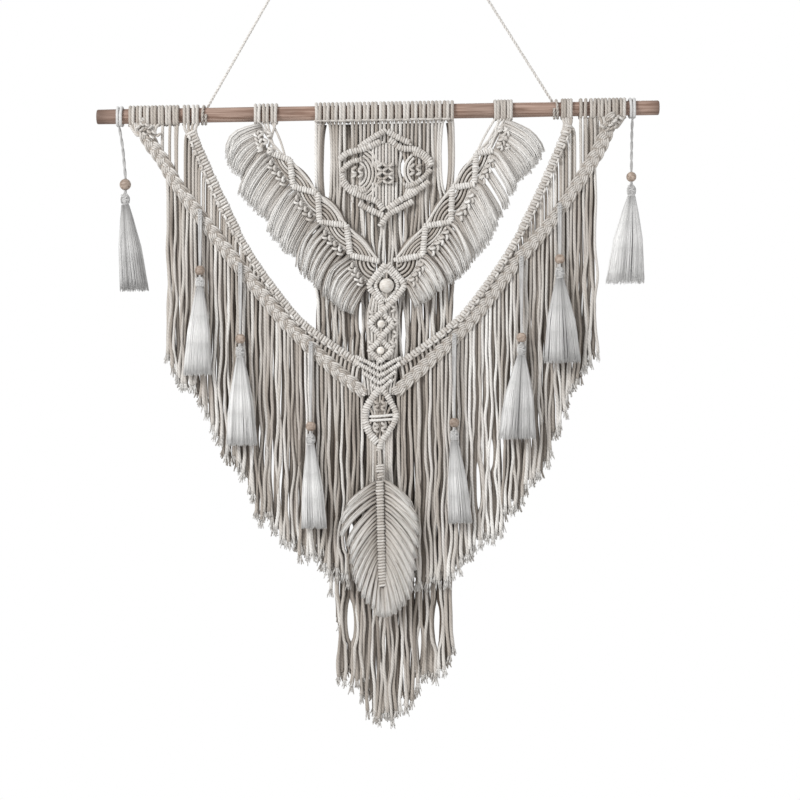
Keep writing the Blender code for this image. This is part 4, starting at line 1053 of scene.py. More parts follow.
class MACRAME_OT_swags(Operator):
    """Knot both swags: loops on the rod, the braided and the ribbed band, the web and the fringe"""

    bl_idname = "macrame.swags"
    bl_label = "Swags"

    def execute(self, context):
        looks = context.scene.macrame_cords
        for swag in SWAGS:
            chance = np.random.default_rng(looks.seed + 20 + swag.side)
            knots = Yarn()
            self.bands(knots, swag, looks, chance)
            xs = [x for a, b in swag.wraps
                  for x in np.linspace(a + 2.5, b - 2.5, 2 * round((b - a) / 11.2))]
            over_rod(knots, xs, looks.cord / MM * 1.1, chance, WRAP_TONES, -0.8 * swag.side)
            self.gathers(knots, swag, xs, looks, chance)
            self.web(knots, swag, xs, looks, chance)
            self.links(knots, swag, looks, chance)
            node = f"{swag.name}_swag"
            knots.build(f"{node}_knots", finish("cotton cord"), "cotton", node)
            yarn = Yarn()
            self.fringe(yarn, swag, looks, chance)
            yarn.build(f"{node}_fringe", finish("cotton cord"), "cotton", node)
        return {"FINISHED"}

    def bands(self, yarn, swag, looks, chance):
        """Lay the braided outer band and the ribbed inner one, with bumps on its lower edge."""
        hitch, side, outer = looks.hitch / MM, swag.side, swag.outer
        head = (outer[0][0] + 9, outer[0][1] - 12)
        path = curve(row_path((head,) + outer, FRONT_LAYER, side), 8.0)
        runs = unit(np.gradient(path, axis=0))
        up = np.column_stack((side * runs[:, 2], 0 * runs[:, 1], np.abs(runs[:, 0])))
        widths, rises = ([(row[0], row[k]) for row in swag.braid] for k in (1, 2))
        path += up * read(rises, np.abs(path[:, 0]))[:, None]
        braid(yarn, path, widths, depth=10.5, cord=3.2, tone=0.66, chance=chance)
        line = curve(row_path(INNER_BAND, FRONT_LAYER - 0.5, side), 4.0)
        cut = int(np.argmin(np.abs(np.abs(line[:, 0]) - INNER_SPLIT)))
        for part, width in zip((line[:cut + 1], line[cut:]), swag.inner):
            hitches(yarn, part, width, 9.0, hitch * 1.1, 0.74, chance, pitch=hitch * 1.18, gap=0.1,
                    inside=0.3)
        _, _, across = path_directions(line)
        low = -1.0 if across[3, 2] > 0 else 1.0
        for k in range(2, len(line) - 2, 3):
            half = 5.0 if abs(line[k, 0]) > INNER_SPLIT else 4.0
            middle = line[k] + across[k] * low * half + (0, -3.4, 0)
            run = 3.4 * unit(line[k + 1] - line[k - 1])
            yarn.strand((middle - run, middle + (0, -1.4, 0), middle + run), hitch * 0.48,
                        0.78 + chance.normal(0, 0.08), 1.7)

    def gathers(self, yarn, swag, xs, looks, chance):
        """Gather the strands from the rod into the heads of the two bands."""
        side, outer = swag.side, swag.outer[0]
        for x in xs:
            reach = abs(x)
            if GATHER_X[0] <= reach <= GATHER_X[1]:
                continue
            inside = reach < GATHER_X[0]
            head, spread, low = (INNER_BAND[0], 0.6, 12) if inside else (outer, 0.62, 6)
            foot = side * (head[0] + (reach - head[0]) * spread)
            path = (place(x - side * 0.8, 13.5, -11.5), place((x + foot) / 2, head[1] - 4, -14),
                    place(foot - side * 3, head[1] + 6, -15),
                    place(foot - side * 6, head[1] + low, -15))
            yarn.strand(path, looks.cord / MM * 0.5, chance.choice(WRAP_TONES))
        for k in range(4):
            for j in (-1, 0, 1):
                centre = place(side * (354 - 5.0 * k) + 7.0 * j,
                               outer[1] - 9 + 5.6 * k + 1.6 * side * j, -18)
                centre += chance.normal(0, 1.1, 3)
                square_knot(yarn, centre, 8.4, 5.0, looks.hitch / MM * 0.9,
                            0.66 + chance.normal(0, 0.12), int(chance.integers(0, 2)))

    def web(self, yarn, swag, xs, looks, chance):
        """Run cords from the inner band, and from the rod, down to the upper outer band."""
        cord, side = looks.cord / MM, swag.side
        # the second layer, behind the first, takes DIM_TONES, darker as painted shade
        for layer, tones, first in ((0.0, MID_TONES, 196.0), (3.6, DIM_TONES, 198.5)):
            for x in np.arange(first, 286, 5.2):
                x += chance.normal(0, 0.7)
                bow = chance.uniform(0.0, 3.6)
                reach = x + bow + 3.5 * (x - 190) / 90
                top, low = band_drop(INNER_BAND, x), band_drop(swag.outer, reach)
                if low - top < 8:
                    continue
                y = FRINGE_LAYER + layer
                path = (place(side * (x - 4), top - 3, y - 1.0),
                        place(side * (x + 0.4 * bow), top + 4, y - 0.6),
                        place(side * (reach - 0.4), top + 15, y), place(side * reach, low + 2, y))
                yarn.strand(path, cord * 0.48, chance.choice(tones), CORD_RING * 0.8)
        straight = [x for x in xs if GATHER_X[0] < abs(x) < GATHER_X[1] + 1]
        for x in straight[::2] if side < 0 else straight:
            path = hanging(x, 13.5, band_drop(swag.outer, abs(x)) + 3, FRINGE_LAYER, chance, 0.6,
                           (x - side * 0.8, -11.5, -13.5))
            yarn.tubes(path, cord * 0.5, chance.choice(WRAP_TONES))
        for x in (306, 325) if side < 0 else np.arange(300, 327, 6.4):
            path = hanging(side * x, 12.5, band_drop(swag.outer, x) + 3, FRINGE_LAYER + 4.0, chance,
                           1.2, (side * x, -9.5, -14.0))
            yarn.tubes(path, cord * 0.48, chance.choice(MID_TONES))

    def links(self, yarn, swag, looks, chance):
        """Run short cords between the lower parts of the two bands."""
        # the second layer, behind the first, takes DIM_TONES, darker as painted shade
        for layer, tones, first in ((0.0, MID_TONES, 34.0), (4.8, DIM_TONES, 31.0)):
            for x in np.arange(first, 197, 5.9):
                top, low = band_drop(INNER_BAND, x), band_drop(swag.outer, x)
                path = row_path(((x - 3, top), (x + 1, (top + low) / 2), (x + 2, low)),
                                FRINGE_LAYER + layer, swag.side)
                yarn.strand(path, looks.cord / MM * 0.47, chance.choice(tones), CORD_RING)

    def fringe(self, yarn, swag, looks, chance):
        """Hang the front cords and the cords behind them, darker as painted shade."""
        pitch = looks.pitch / MM
        xs = np.linspace(FRINGE_FROM, swag.fringe_to, round((swag.fringe_to - FRINGE_FROM) / pitch))
        fringe(yarn, swag.side * xs, band_drop(swag.outer, xs), read(swag.ends, xs), FRINGE_LAYER,
               looks, chance, MID_TONES, 8.0)
        xs = xs[:-1] + pitch / 2
        fringe(yarn, swag.side * xs, band_drop(swag.outer, xs), read(swag.ends, xs) - 9,
               FRINGE_LAYER + 6.0, looks, chance, SHADED_BACK_TONES, 10.0, behind=True)


# ---------------------------------------------------------------- wings

# One side's wing. zigzag is the corners of its bars as x and drop, tufts are the outer and inner
# tip of each tuft, wrap is its strands' stretch of the rod, thin is the locks that its second tuft
# lacks, and swell and swoop are how far the first tuft's tips and all outer locks bow out
Wing = namedtuple("Wing", "side name zigzag tufts wrap thin swell swoop")
WINGS = (
    Wing(-1, "left",
         zigzag=((-178, 26), (-168, 58), (-134, 71), (-130, 111), (-93, 121), (-90, 164),
                 (-50, 170), (-44, 215), (-2, 224), (-16, 262)),
         tufts=(((-225, 63), (-198, 104)), ((-206, 122), (-166, 163)), ((-164, 179), (-122, 222)),
                ((-120, 232), (-82, 270)), ((-80, 275), (-44, 302))),
         wrap=(-189.0, -153.0), thin=(), swell=7.0, swoop=1.0),
    Wing(1, "right",
         zigzag=((188, 26), (168, 62), (144, 66), (141, 112), (108, 116), (106, 167), (68, 173),
                 (64, 216), (22, 224), (36, 262)),
         tufts=(((242, 67), (204, 112)), ((202, 117), (176, 168)), ((172, 176), (138, 226)),
                ((134, 232), (100, 262)), ((94, 264), (56, 292))),
         wrap=(170.0, 199.0), thin=(3, 6), swell=3.0, swoop=0.4),
)
TUFT_LOCKS = 9
TUFT_SWOOPS = (0.24, 0.05, 0.05, 0.14, 0.2)    # how far each tuft's outer locks swoop, from the top
# Knots of the net under the rod: share of its width, and drop
NET_KNOTS = ((0.3, 28), (0.7, 30), (0.5, 41), (0.25, 52), (0.75, 54))


class MACRAME_OT_wings(Operator):
    """Knot both wings: loops on the rod, the zigzag bars, the bowed cords and the combed tufts"""

    bl_idname = "macrame.wings"
    bl_label = "Wings"

    def execute(self, context):
        looks = context.scene.macrame_cords
        for wing in WINGS:
            chance = np.random.default_rng(looks.seed + 40 + wing.side)
            knots = Yarn()
            xs = np.linspace(wing.wrap[0] + 2.5, wing.wrap[1] - 2.5, 6)
            over_rod(knots, xs, looks.cord / MM * 1.1, chance, WRAP_TONES)
            corners = row_path(wing.zigzag, FRONT_LAYER)
            raised = [corner + (0, -2.0, 0) for corner in corners]
            hitched_line(knots, raised[1:-1], 10.2, 8.8, looks.hitch / MM, 0.84, chance,
                         inside=0.35)
            for trio in zip(corners[1:], corners[2:], corners[3:]):
                self.bowed(knots, *trio, looks, chance)
            self.net(knots, corners, xs, looks, chance)
            combed = Yarn()
            for k in range(len(wing.tufts)):
                self.tuft(knots, combed, wing, corners, k, looks, chance)
            node = f"{wing.name}_wing"
            knots.build(f"{node}_knots", finish("cotton cord"), "cotton_light", node)
            combed.build(f"{node}_tufts", finish("combed cotton"), "cotton_light", node)
        return {"FINISHED"}

    def bowed(self, yarn, before, corner, after, looks, chance):
        """Bow cords round a corner of the zigzag, from its one bar to the other."""
        cord = looks.cord / MM * 0.78
        a, b = before - corner, after - corner
        room = min(np.linalg.norm(a), np.linalg.norm(b))
        turns = np.radians(np.linspace(0, 90, 8))[:, None]
        for reach in np.arange(9.5, room - 2, cord * 1.52):
            share = reach / room
            chord = 1 - 0.3 * share * (1 - 1 / (np.cos(turns) + np.sin(turns)))
            arc = corner + share * chord * (a * np.cos(turns) + b * np.sin(turns)) + (0, 1.0, 0)
            yarn.strand(arc, cord / 2, chance.choice(MID_TONES), KNOT_RING * 1.3)
            # a cord behind each bow, darker as painted shade
            back = arc + (0, 3.4, 0) + (a + b) * (0.025 / max(share, 0.3))
            yarn.strand(back, cord * 0.62, chance.choice(SHADED_BACK_TONES) - 0.08, KNOT_RING * 2, 4)
        edge = [corner + a, corner + (a + b) * 0.535, corner + b]
        yarn.strand(edge, cord * 0.62, 0.8, KNOT_RING * 1.4)

    def net(self, yarn, corners, xs, looks, chance):
        """Cross cords under the loops on the rod, with knots where they meet."""
        left, right = sorted(corners[1:3], key=lambda corner: corner[0])
        for k, x in enumerate(xs):
            share = k / (len(xs) - 1)
            end = left + (right - left) * (1 - share if k % 2 else share)
            start = np.array((x, -12.0, -13.0))
            middle = (start + end) / 2 + (chance.normal(0, 1.5), -2.0 if k % 2 else 1.0, 0)
            yarn.strand((start, middle, end), looks.cord / MM * 0.4, chance.choice(LIT_TONES),
                        KNOT_RING * 1.4)
        for share, drop in NET_KNOTS:
            for j in range(2):
                centre = place(xs[0] + (xs[-1] - xs[0]) * share, drop + 4.2 * j, FRONT_LAYER - 3.5)
                square_knot(yarn, centre, 9.5, 4.2, looks.hitch / MM, 0.84, j)

    def tuft(self, knots, combed, wing, corners, k, looks, chance):
        """Comb one tuft of locks between its tips, with small knots along its root."""
        start, end = corners[max(2 * k - 1, 0)], corners[2 * k + 1]
        if not k:
            start = start + (0, 0, 8)
        hitch, thread = looks.hitch / MM, looks.thread / MM
        outer, inner = row_path(wing.tufts[k], FRONT_LAYER)
        run = unit(end - start)
        away = unit((outer + inner) / 2 - (start + end) / 2)
        away = unit(away - run * (away * run).sum())
        for row in range(2):
            for share in (0.26, 0.42, 0.58, 0.74):
                spot = start + (end - start) * (share + 0.08 * row) + away * (5.0 + 5.2 * row)
                square_knot(knots, spot + (0, -5.0, 0), 9.0, 5.4, hitch * 0.95,
                            0.8 + chance.normal(0, 0.1), row, away)
        thin = wing.thin if k == 1 else ()
        swell, swoops = 3.0 if k else wing.swell, TUFT_SWOOPS[k] * wing.swoop
        root_wide, edge = (5.4, 0.24) if k < 3 else (4.2, 0.75)
        for j in range(TUFT_LOCKS):
            share = j / (TUFT_LOCKS - 1)
            root = start + (end - start) * (0.02 + 0.94 * share) + away * 0.6
            tip = (outer + (inner - outer) * share + away * swell * 4 * share * (1 - share)
                   + chance.normal(0, 1.0, 3) * (1, 0.2, 1))
            if j in thin:
                continue
            swoop = swoops * (1 - share)
            lift = (-1.8, 0.4)[j % 2] - 5.0 * (1 - share) ** 1.5
            # painted light and shade: a tuft's first locks are lighter, its last ones, under the
            # next tuft, darker, and the raised lock of each pair lighter
            shade = 0.08 * (1 - share) - 0.16 * share ** 3 + (0.05, -0.05)[j % 2]
            way = tip - root
            path = np.array((
                root, root + away * 7.0 + way * 0.06 + (0, lift * 0.4 - 1.5, 2.0 * (1 - share)),
                root + way * (0.55 + swoop, 0.5, 0.42 - 0.4 * swoop) + (0, -3.0 + lift, 0),
                root + way * (0.88 + 0.4 * swoop, 0.8, 0.76 - 0.3 * swoop) + (0, -1.8 + lift, 0),
                tip + (0, lift * 0.6, 0)))
            wide, count = (8.0, 28) if thin else (chance.uniform(10.8, 13.2), 42)
            tones = (0.56 + shade + chance.normal(0, 0.05), 1.0 + 0.5 * shade)
            lock(combed, path, root_wide, wide, 9.0, count, thread, chance, tones, 0.14, edge)


# ---------------------------------------------------------------- centre column

# Bars that cross the column under its loops, from the top: x and drop of their corners
VEES = (((-36, 366), (-18, 375), (-4, 383), (0, 385), (6, 382), (20, 374), (32, 369)),
        ((-33, 376), (-16, 386), (-3, 394), (0, 395), (5, 393), (22, 383), (30, 378)),
        ((-26, 390), (-10, 400), (0, 406), (8, 401), (24, 389)),
        ((-14, 408), (0, 416), (12, 407), (19, 401)))
# Knots beside the loops: x and drop
SIDE_KNOTS = ((20, 292), (24, 312), (23, 330), (19, 346), (-13, 300), (-14, 345))
DIAMOND = (0.0, 455.0, 22.0, 40.0)     # x, drop, half width and half height
# Its two bars, left and right: width, then x and drop of their corners
DIAMOND_BARS = (
    (12.0, ((0, 414), (-11, 428), (-20, 443), (-22, 456), (-21, 466), (-15, 481), (-4, 495))),
    (10.4, ((1, 414), (9, 422), (19, 440), (24, 454), (20, 468), (11, 481), (2, 494), (-1, 506))),
)
DIAMOND_FRINGE = 700.0
# Where its strands start, as shares of its half width
DIAMOND_STRANDS = (-0.8, -0.62, -0.45, -0.27, 0.27, 0.45, 0.62, 0.8)


class MACRAME_OT_column(Operator):
    """Knot the column: two bars that cross into loops, the Vs, the diamond and its strands"""

    bl_idname = "macrame.column"
    bl_label = "Column"

    def execute(self, context):
        looks = context.scene.macrame_cords
        chance = np.random.default_rng(looks.seed + 60)
        cord, hitch = looks.cord / MM, looks.hitch / MM
        yarn = Yarn()
        for hand in (-1, 1):
            hitches(yarn, self.crossing(hand), 10.2, 8.8, hitch, 0.82, chance, inside=0.35)
        x, drop, half, tall = RINGS["lozenge"]
        corners = ((0, -1), (0.6, -0.6), (1, 0), (0.6, 0.6), (0, 1), (-0.6, 0.6), (-1, 0),
                   (-0.6, -0.6))
        inner = row_path([(x + (half - 9.5) * a, drop + (tall - 11) * b) for a, b in corners],
                         COLUMN_LAYER)
        hitches(yarn, inner, 6.4, 6.4, hitch * 0.85, 0.86, chance, closed=True)
        for x, drop, _, tall in RINGS.values():
            thread = [(x, drop + tall * t) for t in (-0.95, -0.4, 0, 0.4, 0.95)]
            yarn.strand(row_path(thread, COLUMN_LAYER), 1.5, 0.6)
        for vee in VEES:
            hitches(yarn, row_path(vee, COLUMN_LAYER), 7.0, 7.4, hitch * 0.9, 0.84, chance)
        self.between(yarn, cord, hitch, chance)
        self.diamond(yarn, cord, hitch, looks, chance)
        yarn.build("column_knots", finish("cotton cord"), "cotton_light", "centre_column")
        return {"FINISHED"}

    def crossing(self, hand):
        """Return one of the two bars that cross between the loops."""
        rows = []
        for x, drop, half, tall in RINGS.values():
            for share in (-0.72, -0.35, 0.0, 0.35, 0.72):
                reach = half * (1 - abs(share) ** 1.25)
                rows.append(place(x + hand * reach, drop + tall * share,
                                  COLUMN_LAYER - 1.6 * math.sin(share * math.pi) * hand))
            hand = -hand
        head = place(12 if rows[0][0] > 10 else 8, 229, COLUMN_LAYER)
        return [head] + rows + [place(0.5, 374, COLUMN_LAYER)]

    def between(self, yarn, cord, hitch, chance):
        """Run short cords between the loops, the Vs and the bands at their sides."""
        for x in np.arange(-17, 28, 5.2):
            path = (place(8 + (x - 8) * 0.7, 270, -12.5), place(x, 300, -12), place(x, 340, -12),
                    place(x * 0.9, 372, -12.5))
            yarn.strand(path, cord * 0.5, chance.choice(LIT_TONES), CORD_RING)
        for x, drop in SIDE_KNOTS:
            for k in range(2):
                square_knot(yarn, place(x, drop + 5.4 * k, -14.5), 9, 5.4, hitch, 0.76, k)
        for x in np.arange(-26, 30, 5.6):
            path = (place(x, 372 + 0.35 * abs(x), -13), place(x * 0.96, 383 + 0.25 * abs(x), -13),
                    place(x * 0.9, 402, -13.5), place(x * 0.8, 424, -14))
            yarn.strand(path, cord * 0.42, chance.choice(LIT_TONES), CORD_RING)

    def diamond(self, yarn, cord, hitch, looks, chance):
        """Knot the diamond, its crossed cords and the strands that hang from it."""
        x, drop, half, tall = DIAMOND
        for wide, bar in DIAMOND_BARS:
            hitches(yarn, row_path(bar, COLUMN_LAYER), wide, 8.8, hitch, 0.8, chance, inside=0.35)
        tail = [place(0, drop + tall * 0.92, -18), place(-1, drop + tall + 16, -17.5),
                place(-1, drop + tall + 34, -18)]
        hitches(yarn, tail, 6.0, 6.0, hitch * 0.9, 0.66, chance)
        for k in range(2):
            level = [place(x - half * 0.7, drop + 1 + 6 * k, -16),
                     place(x, drop + 0.5 + 6 * k, -19.5),
                     place(x + half * 0.9, drop - 1 + 6.5 * k, -16)]
            yarn.strand(level, cord * 0.46, 0.9)
        for reach in np.arange(-15, 16, 5):
            room = tall * (1 - abs(reach) / half) * 0.96
            way = [place(x + reach, drop - room, -15.5), place(x + reach * 0.7, drop, -14.5),
                   place(x + reach, drop + room, -15.5)]
            yarn.strand(way, cord * 0.42, chance.choice(MID_TONES) - 0.1, KNOT_RING * 1.4)
        for k in range(3):
            for j in (-1, 1):
                for off, down, y, tone in ((5.0, -20, -16.5, 0.56), (5.5, 12, -17, 0.7)):
                    square_knot(yarn, place(x + off * j, drop + down + 5 * k, y), 9, 5, hitch, tone,
                                k % 2)
        for share in DIAMOND_STRANDS:
            end = DIAMOND_FRINGE + chance.uniform(-14, 14)
            path = hanging(x + half * share, drop + tall * (1 - abs(share)), end, FRINGE_LAYER - 1,
                           chance, looks.sway / MM)
            drop_cord(yarn, path, cord, chance.choice(MID_TONES), chance)


# ---------------------------------------------------------------- leaf

LEAF_CORD = ((-1, 499, COLUMN_LAYER), (-0.5, 512, -19), (0, 524, -21), (1, 533, LEAF_LAYER),
             (2, 550, LEAF_LAYER))
# Its two wraps: x, drop and y of their points, then width, depth and tone
LEAF_WRAPS = ((((1, 529, -25), (1, 533, -26.5), (1, 538, -27)), 15.0, 9.0, 0.72),
              (((1, 541, -27), (1.5, 545, -27), (2, 549, -27)), 12.0, 8.0, 0.6))
LEAF_SPINE = ((0, 552), (1, 600), (2.5, 660), (4, 708))
# Cells of the leaf's spine from the top: drop, then x and drop where the two locks end
LEAF_ROWS = (
    (556, -50, 595, 46, 594), (566, -57, 610, 54, 611), (578, -57, 629, 56, 630),
    (590, -47, 645, 56, 648), (602, -43, 658, 53, 665), (614, -42, 672, 50, 682),
    (626, -39, 687, 48, 698), (638, -35, 700, 45, 713), (650, -30, 712, 41, 725),
    (662, -24, 722, 35, 735), (674, -17, 731, 28, 742), (686, -9, 739, 21, 747),
    (698, -2, 745, 13, 750),
)
# Its sides: side, first column in the rows, width of a lock, its tones at root and tip, the darker
# root being painted shade, and how dark its edges are, as painted shade between the locks
LEAF_SIDES = ((-1, 1, 7.4, (0.42, 1.06), 0.55), (1, 3, 9.0, (0.56, 0.94), 0.3))
SPINE_X = 2.5
LEAF_THREADS = 34


class MACRAME_OT_leaf(Operator):
    """Knot the leaf: its cord and wraps, the spine of close turns and the combed locks"""

    bl_idname = "macrame.leaf"
    bl_label = "Leaf"

    def execute(self, context):
        looks = context.scene.macrame_cords
        chance = np.random.default_rng(looks.seed + 80)
        hitch, thread = looks.hitch / MM, looks.thread / MM
        knots = Yarn()
        for side in (-1, 1):
            knots.strand([place(*row) + (side * 1.3, 0, 0) for row in LEAF_CORD], 1.6, 0.62)
        for rows, width, depth, tone in LEAF_WRAPS:
            hitches(knots, [place(*row) for row in rows], width, depth, hitch, tone, chance)
        spine = row_path(LEAF_SPINE, LEAF_LAYER - 3.5)
        hitches(knots, spine, 13.0, 6.6, hitch * 0.85, 0.7, chance, pitch=hitch * 1.1, gap=0.0,
                inside=0.2)
        # strands behind the spine: the dark ones at its sides are painted shade in the holes beside
        # its turns
        for offset, radius, tone in (((-7.4, 4.4, 0), 2.4, 0.0), ((7.4, 4.4, 0), 2.4, 0.2),
                                     ((0, 3.4, 0), 3.6, 0.6)):
            knots.strand([point + offset for point in spine], radius, tone, 6.0)
        knots.build("leaf_spine", finish("cotton cord"), "cotton_light", "leaf")
        combed = Yarn()
        for row in LEAF_ROWS:
            for side in LEAF_SIDES:
                self.side_locks(combed, row, *side, thread, chance)
        for x in (-3.5, 0.5, 4.5, 8.0):
            path = (place(SPINE_X + 0.3 * x, 710, LEAF_LAYER - 1),
                    place(SPINE_X + x, 730, LEAF_LAYER - 3),
                    place(SPINE_X + 1.7 * x, 755 - 0.5 * abs(x), LEAF_LAYER))
            lock(combed, path, 4.5, 11.0, 5.0, LEAF_THREADS, thread, chance, (0.54, 0.86), 0.08)
        combed.build("leaf_locks", finish("combed cotton"), "cotton_light", "leaf")
        return {"FINISHED"}

    def side_locks(self, yarn, row, side, column, wide, tones, edge, thread, chance):
        """Comb two locks of one cell of the spine to the leaf's edge, one over the other."""
        for half, lift in ((0.5, -1.6), (0.0, 0.0)):
            x, drop = row[column] + chance.normal(0, 0.7), row[column + 1] + 7.5 * half
            root = place(SPINE_X + side * 4.2, row[0] + 12 * half - 4, LEAF_LAYER)
            tip = place(x, drop, LEAF_LAYER + 1.2)
            way = tip - root
            path = (root, root + way * (0.2, 0, 0.1) + (0, -1.8, 0),
                    root + way * (0.6, 0, 0.42) + (0, -3.0 + lift, 0),
                    root + way * (0.9, 0, 0.76) + (0, -2.0 + lift, 0), tip)
            lock(yarn, path, 3.0, wide, 6.0, LEAF_THREADS, thread, chance, tones, 0.1, edge)


# ---------------------------------------------------------------- tassels

KNOT_DROPS = (-8, -4, 0, 4)
# Two plies of a tassel's cord: offset from its middle, radius, tone and length of one twist
OUTER_PLIES = (0.8, 1.6, 0.24, 30.0)
INNER_PLIES = (1.5, 1.9, 0.3, 400.0)
# The ball in a tassel's head: drops from its top, then radii at some of its rings
BALL_DROPS = (0, 2, 5, 8, 12)
BALL_RADII = ((0, 1, 4, 8), (2.6, 4.8, 6.0, 5.2))
# Threads over the ball: drop from its top and reach from its middle
HEAD_THREAD = ((-2, 1.8), (2, 5.0), (6, 6.2), (12, 5.3))
HEAD_THREADS = 16
# A skirt's threads: how many, radii and tones from neck to foot, darker at the neck as painted
# shade under the head
SKIRT_THREADS, SKIRT_BODY = 290, 150
SKIRT_RADII = np.array((0.75, 0.75, 0.7, 0.65, 0.6, 0.55, 0.35)) / 1.2
SKIRT_TONES = np.array((0.5, 0.66, 0.84, 0.9, 0.86, 0.8, 0.82))
# How much lighter or darker each tassel is, in the order of the table
TASSEL_SHADES = (-0.32, -0.04, -0.08, -0.08, -0.14, -0.1, -0.2, 0.02)


def skirt_threads(count, chance, top, foot, neck, half, flat):
    """Return threads from the neck of a tassel down to its oval foot."""
    angle = TAU * (np.arange(count) + chance.uniform(-0.4, 0.4, count)) / count
    layer = np.where(chance.uniform(0, 1, count) < 0.7, 1.0, chance.uniform(0.5, 0.9, count))
    share = np.linspace(0, 1, len(SKIRT_RADII))
    flare = np.clip(1.9 * share, 0, 1) ** 0.8 * 0.55 + share ** 1.4 * 0.45
    lobes = 1 + 0.07 * np.sin(5 * angle + chance.uniform(0, TAU))
    reach = neck + (half * lobes * layer - neck)[:, None] * flare
    deep = neck * 0.9 + (half * flat * lobes * layer - neck * 0.9)[:, None] * flare
    ends = 1 - 0.045 * chance.uniform(0, 1, (count, 1))
    ways = top + (foot - top) * (share * ends)[..., None]
    ways[..., 0] += reach * np.cos(angle)[:, None] + chance.normal(0, 0.25, reach.shape) * share
    ways[..., 1] += deep * np.sin(angle)[:, None]
    return ways


class MACRAME_OT_tassels(Operator):
    """Tie the eight tassels: their cords, bound heads and skirts of fine thread"""

    bl_idname = "macrame.tassels"
    bl_label = "Tassels"

    def execute(self, context):
        looks = context.scene.macrame_cords
        for k, (name, tassel) in enumerate(TASSELS.items()):
            chance = np.random.default_rng(looks.seed + 100 + k)
            yarn = Yarn()
            self.cord(yarn, tassel, looks, chance)
            self.head(yarn, tassel, chance)
            self.skirt(yarn, tassel, looks, chance, TASSEL_SHADES[k])
            yarn.build(f"thread_tassel_{name}", finish("tassel thread"), "tassel_thread",
                       f"tassel_{name}")
        return {"FINISHED"}

    def cord(self, yarn, tassel, looks, chance):
        """Tie the cord on the rod or on the band and run it through the bead to the head."""
        x, y, layer = tassel.x, bead_layer(tassel), INNER_TASSEL_LAYER
        if tassel.tie:
            for k, down in enumerate(KNOT_DROPS):
                square_knot(yarn, place(x, tassel.tie + down, layer), 7.0, 4.0, 2.0, 0.4, k % 2)
            path = row_path(((x, tassel.tie - 6), (x, tassel.tie + 12)), layer)
        else:
            over_rod(yarn, (x - 3.0, x + 3.0), looks.cord / MM, chance, (0.5,))
            path = [place(x, 12, -9), place(x, 20, -4), place((x + tassel.bead_x) / 2, 46, -1)]
        path += [place(tassel.bead_x, tassel.bead - tassel.radius - 3, y),
                 place(tassel.bead_x, tassel.bead, y), place(tassel.bead_x, tassel.head + 4, y - 1)]
        gap = 2.2
        line = curve(path, gap)
        _, fronts, sides = path_directions(line)
        offset, radius, tone, lay = INNER_PLIES if tassel.tie else OUTER_PLIES
        for k in range(2):
            angle = TAU * (np.arange(len(line)) * gap / lay + k / 2 + 0.25)[:, None]
            ply = line + (fronts * np.cos(angle) + sides * np.sin(angle)) * offset
            yarn.tubes(ply, radius, tone + 0.06 * k)

    def head(self, yarn, tassel, chance):
        """Bind the head: a ball under threads, three small knots and a neck of turns."""
        x, top, y = tassel.bead_x, tassel.head, bead_layer(tassel) - 1
        ball = curve([place(x, top + down, y) for down in BALL_DROPS], 1.6)
        yarn.tubes(ball, np.interp(np.arange(len(ball)), *BALL_RADII), 0.45, sides=14)
        for angle in TAU * np.arange(HEAD_THREADS) / HEAD_THREADS:
            out = np.array((math.cos(angle), math.sin(angle) * 0.85, 0))
            way = [place(x, top + down, y) + out * reach for down, reach in HEAD_THREAD]
            yarn.strand(way, 1.0, 0.36 + chance.normal(0, 0.14), sides=4)
        for k in range(3):
            knot = place(x + (k - 1) * 2.6, top + 1.5 + 2.4 * k, y - 4.6)
            square_knot(yarn, knot, 7.6, 4.4, 2.0, 0.5, k % 2)
        neck = [place(x, top + down, y) for down in (10.5, 13, 16)]
        hitches(yarn, neck, 11.4, 10.0, 1.7, 0.45, chance)

    def skirt(self, yarn, tassel, looks, chance, shade):
        """Comb the skirt: an inner body and a coat of fine threads round it."""
        y, half = bead_layer(tassel) - 1, tassel.half
        flat, backing = (0.5, INNER_BEAD_BACK) if tassel.tie else (0.8, WALL)
        neck = place(tassel.bead_x, tassel.head + 15, y)
        foot = place(tassel.foot_x, tassel.foot, min(y, backing - 2.0 - half * flat))
        ways = skirt_threads(SKIRT_THREADS, chance, neck, foot, 5.4, half, flat)
        radii = SKIRT_RADII * looks.thread / MM
        turn = TAU * np.arange(len(ways)) / len(ways)
        # painted light and shade: one side of the skirt is lighter and its creases darker, with
        # random tone
        crease_shade = np.maximum(0, np.cos(turn * 4 + chance.uniform(0, TAU))) ** 5
        side_light_and_crease_shade = 0.1 * np.cos(turn - 2.6) - 0.27 * crease_shade + chance.normal(0, 0.12, len(ways))
        tones = SKIRT_TONES + shade + side_light_and_crease_shade[:, None]
        yarn.tubes(ways, radii, tones, THREAD_SIDES)
        # painted shade: the inner body is darker
        body = skirt_threads(SKIRT_BODY, chance, neck, foot + (0, 0, 4), 3.0, half * 0.74, flat)
        yarn.tubes(body, radii * 1.7, tones[:SKIRT_BODY] - 0.3, THREAD_SIDES)


# ---------------------------------------------------------------- studio

# Lamps: name, place, the point that they are turned to, and width
LAMPS = (("key", (-2.3, -2.3, 0.9), (0.0, 0.0, -0.8), 1.5),
         ("fill", (2.2, -2.2, -0.6), (0.0, 0.0, -0.9), 1.6),
         ("back", (1.2, 3.0, 0.6), (0.0, 0.0, -0.8), 2.0))
FLOOR_HALF = 1.6
FLOOR_Z = -1.9
FLOOR_SPECKLE = (0.9, 0.9, 0.89)


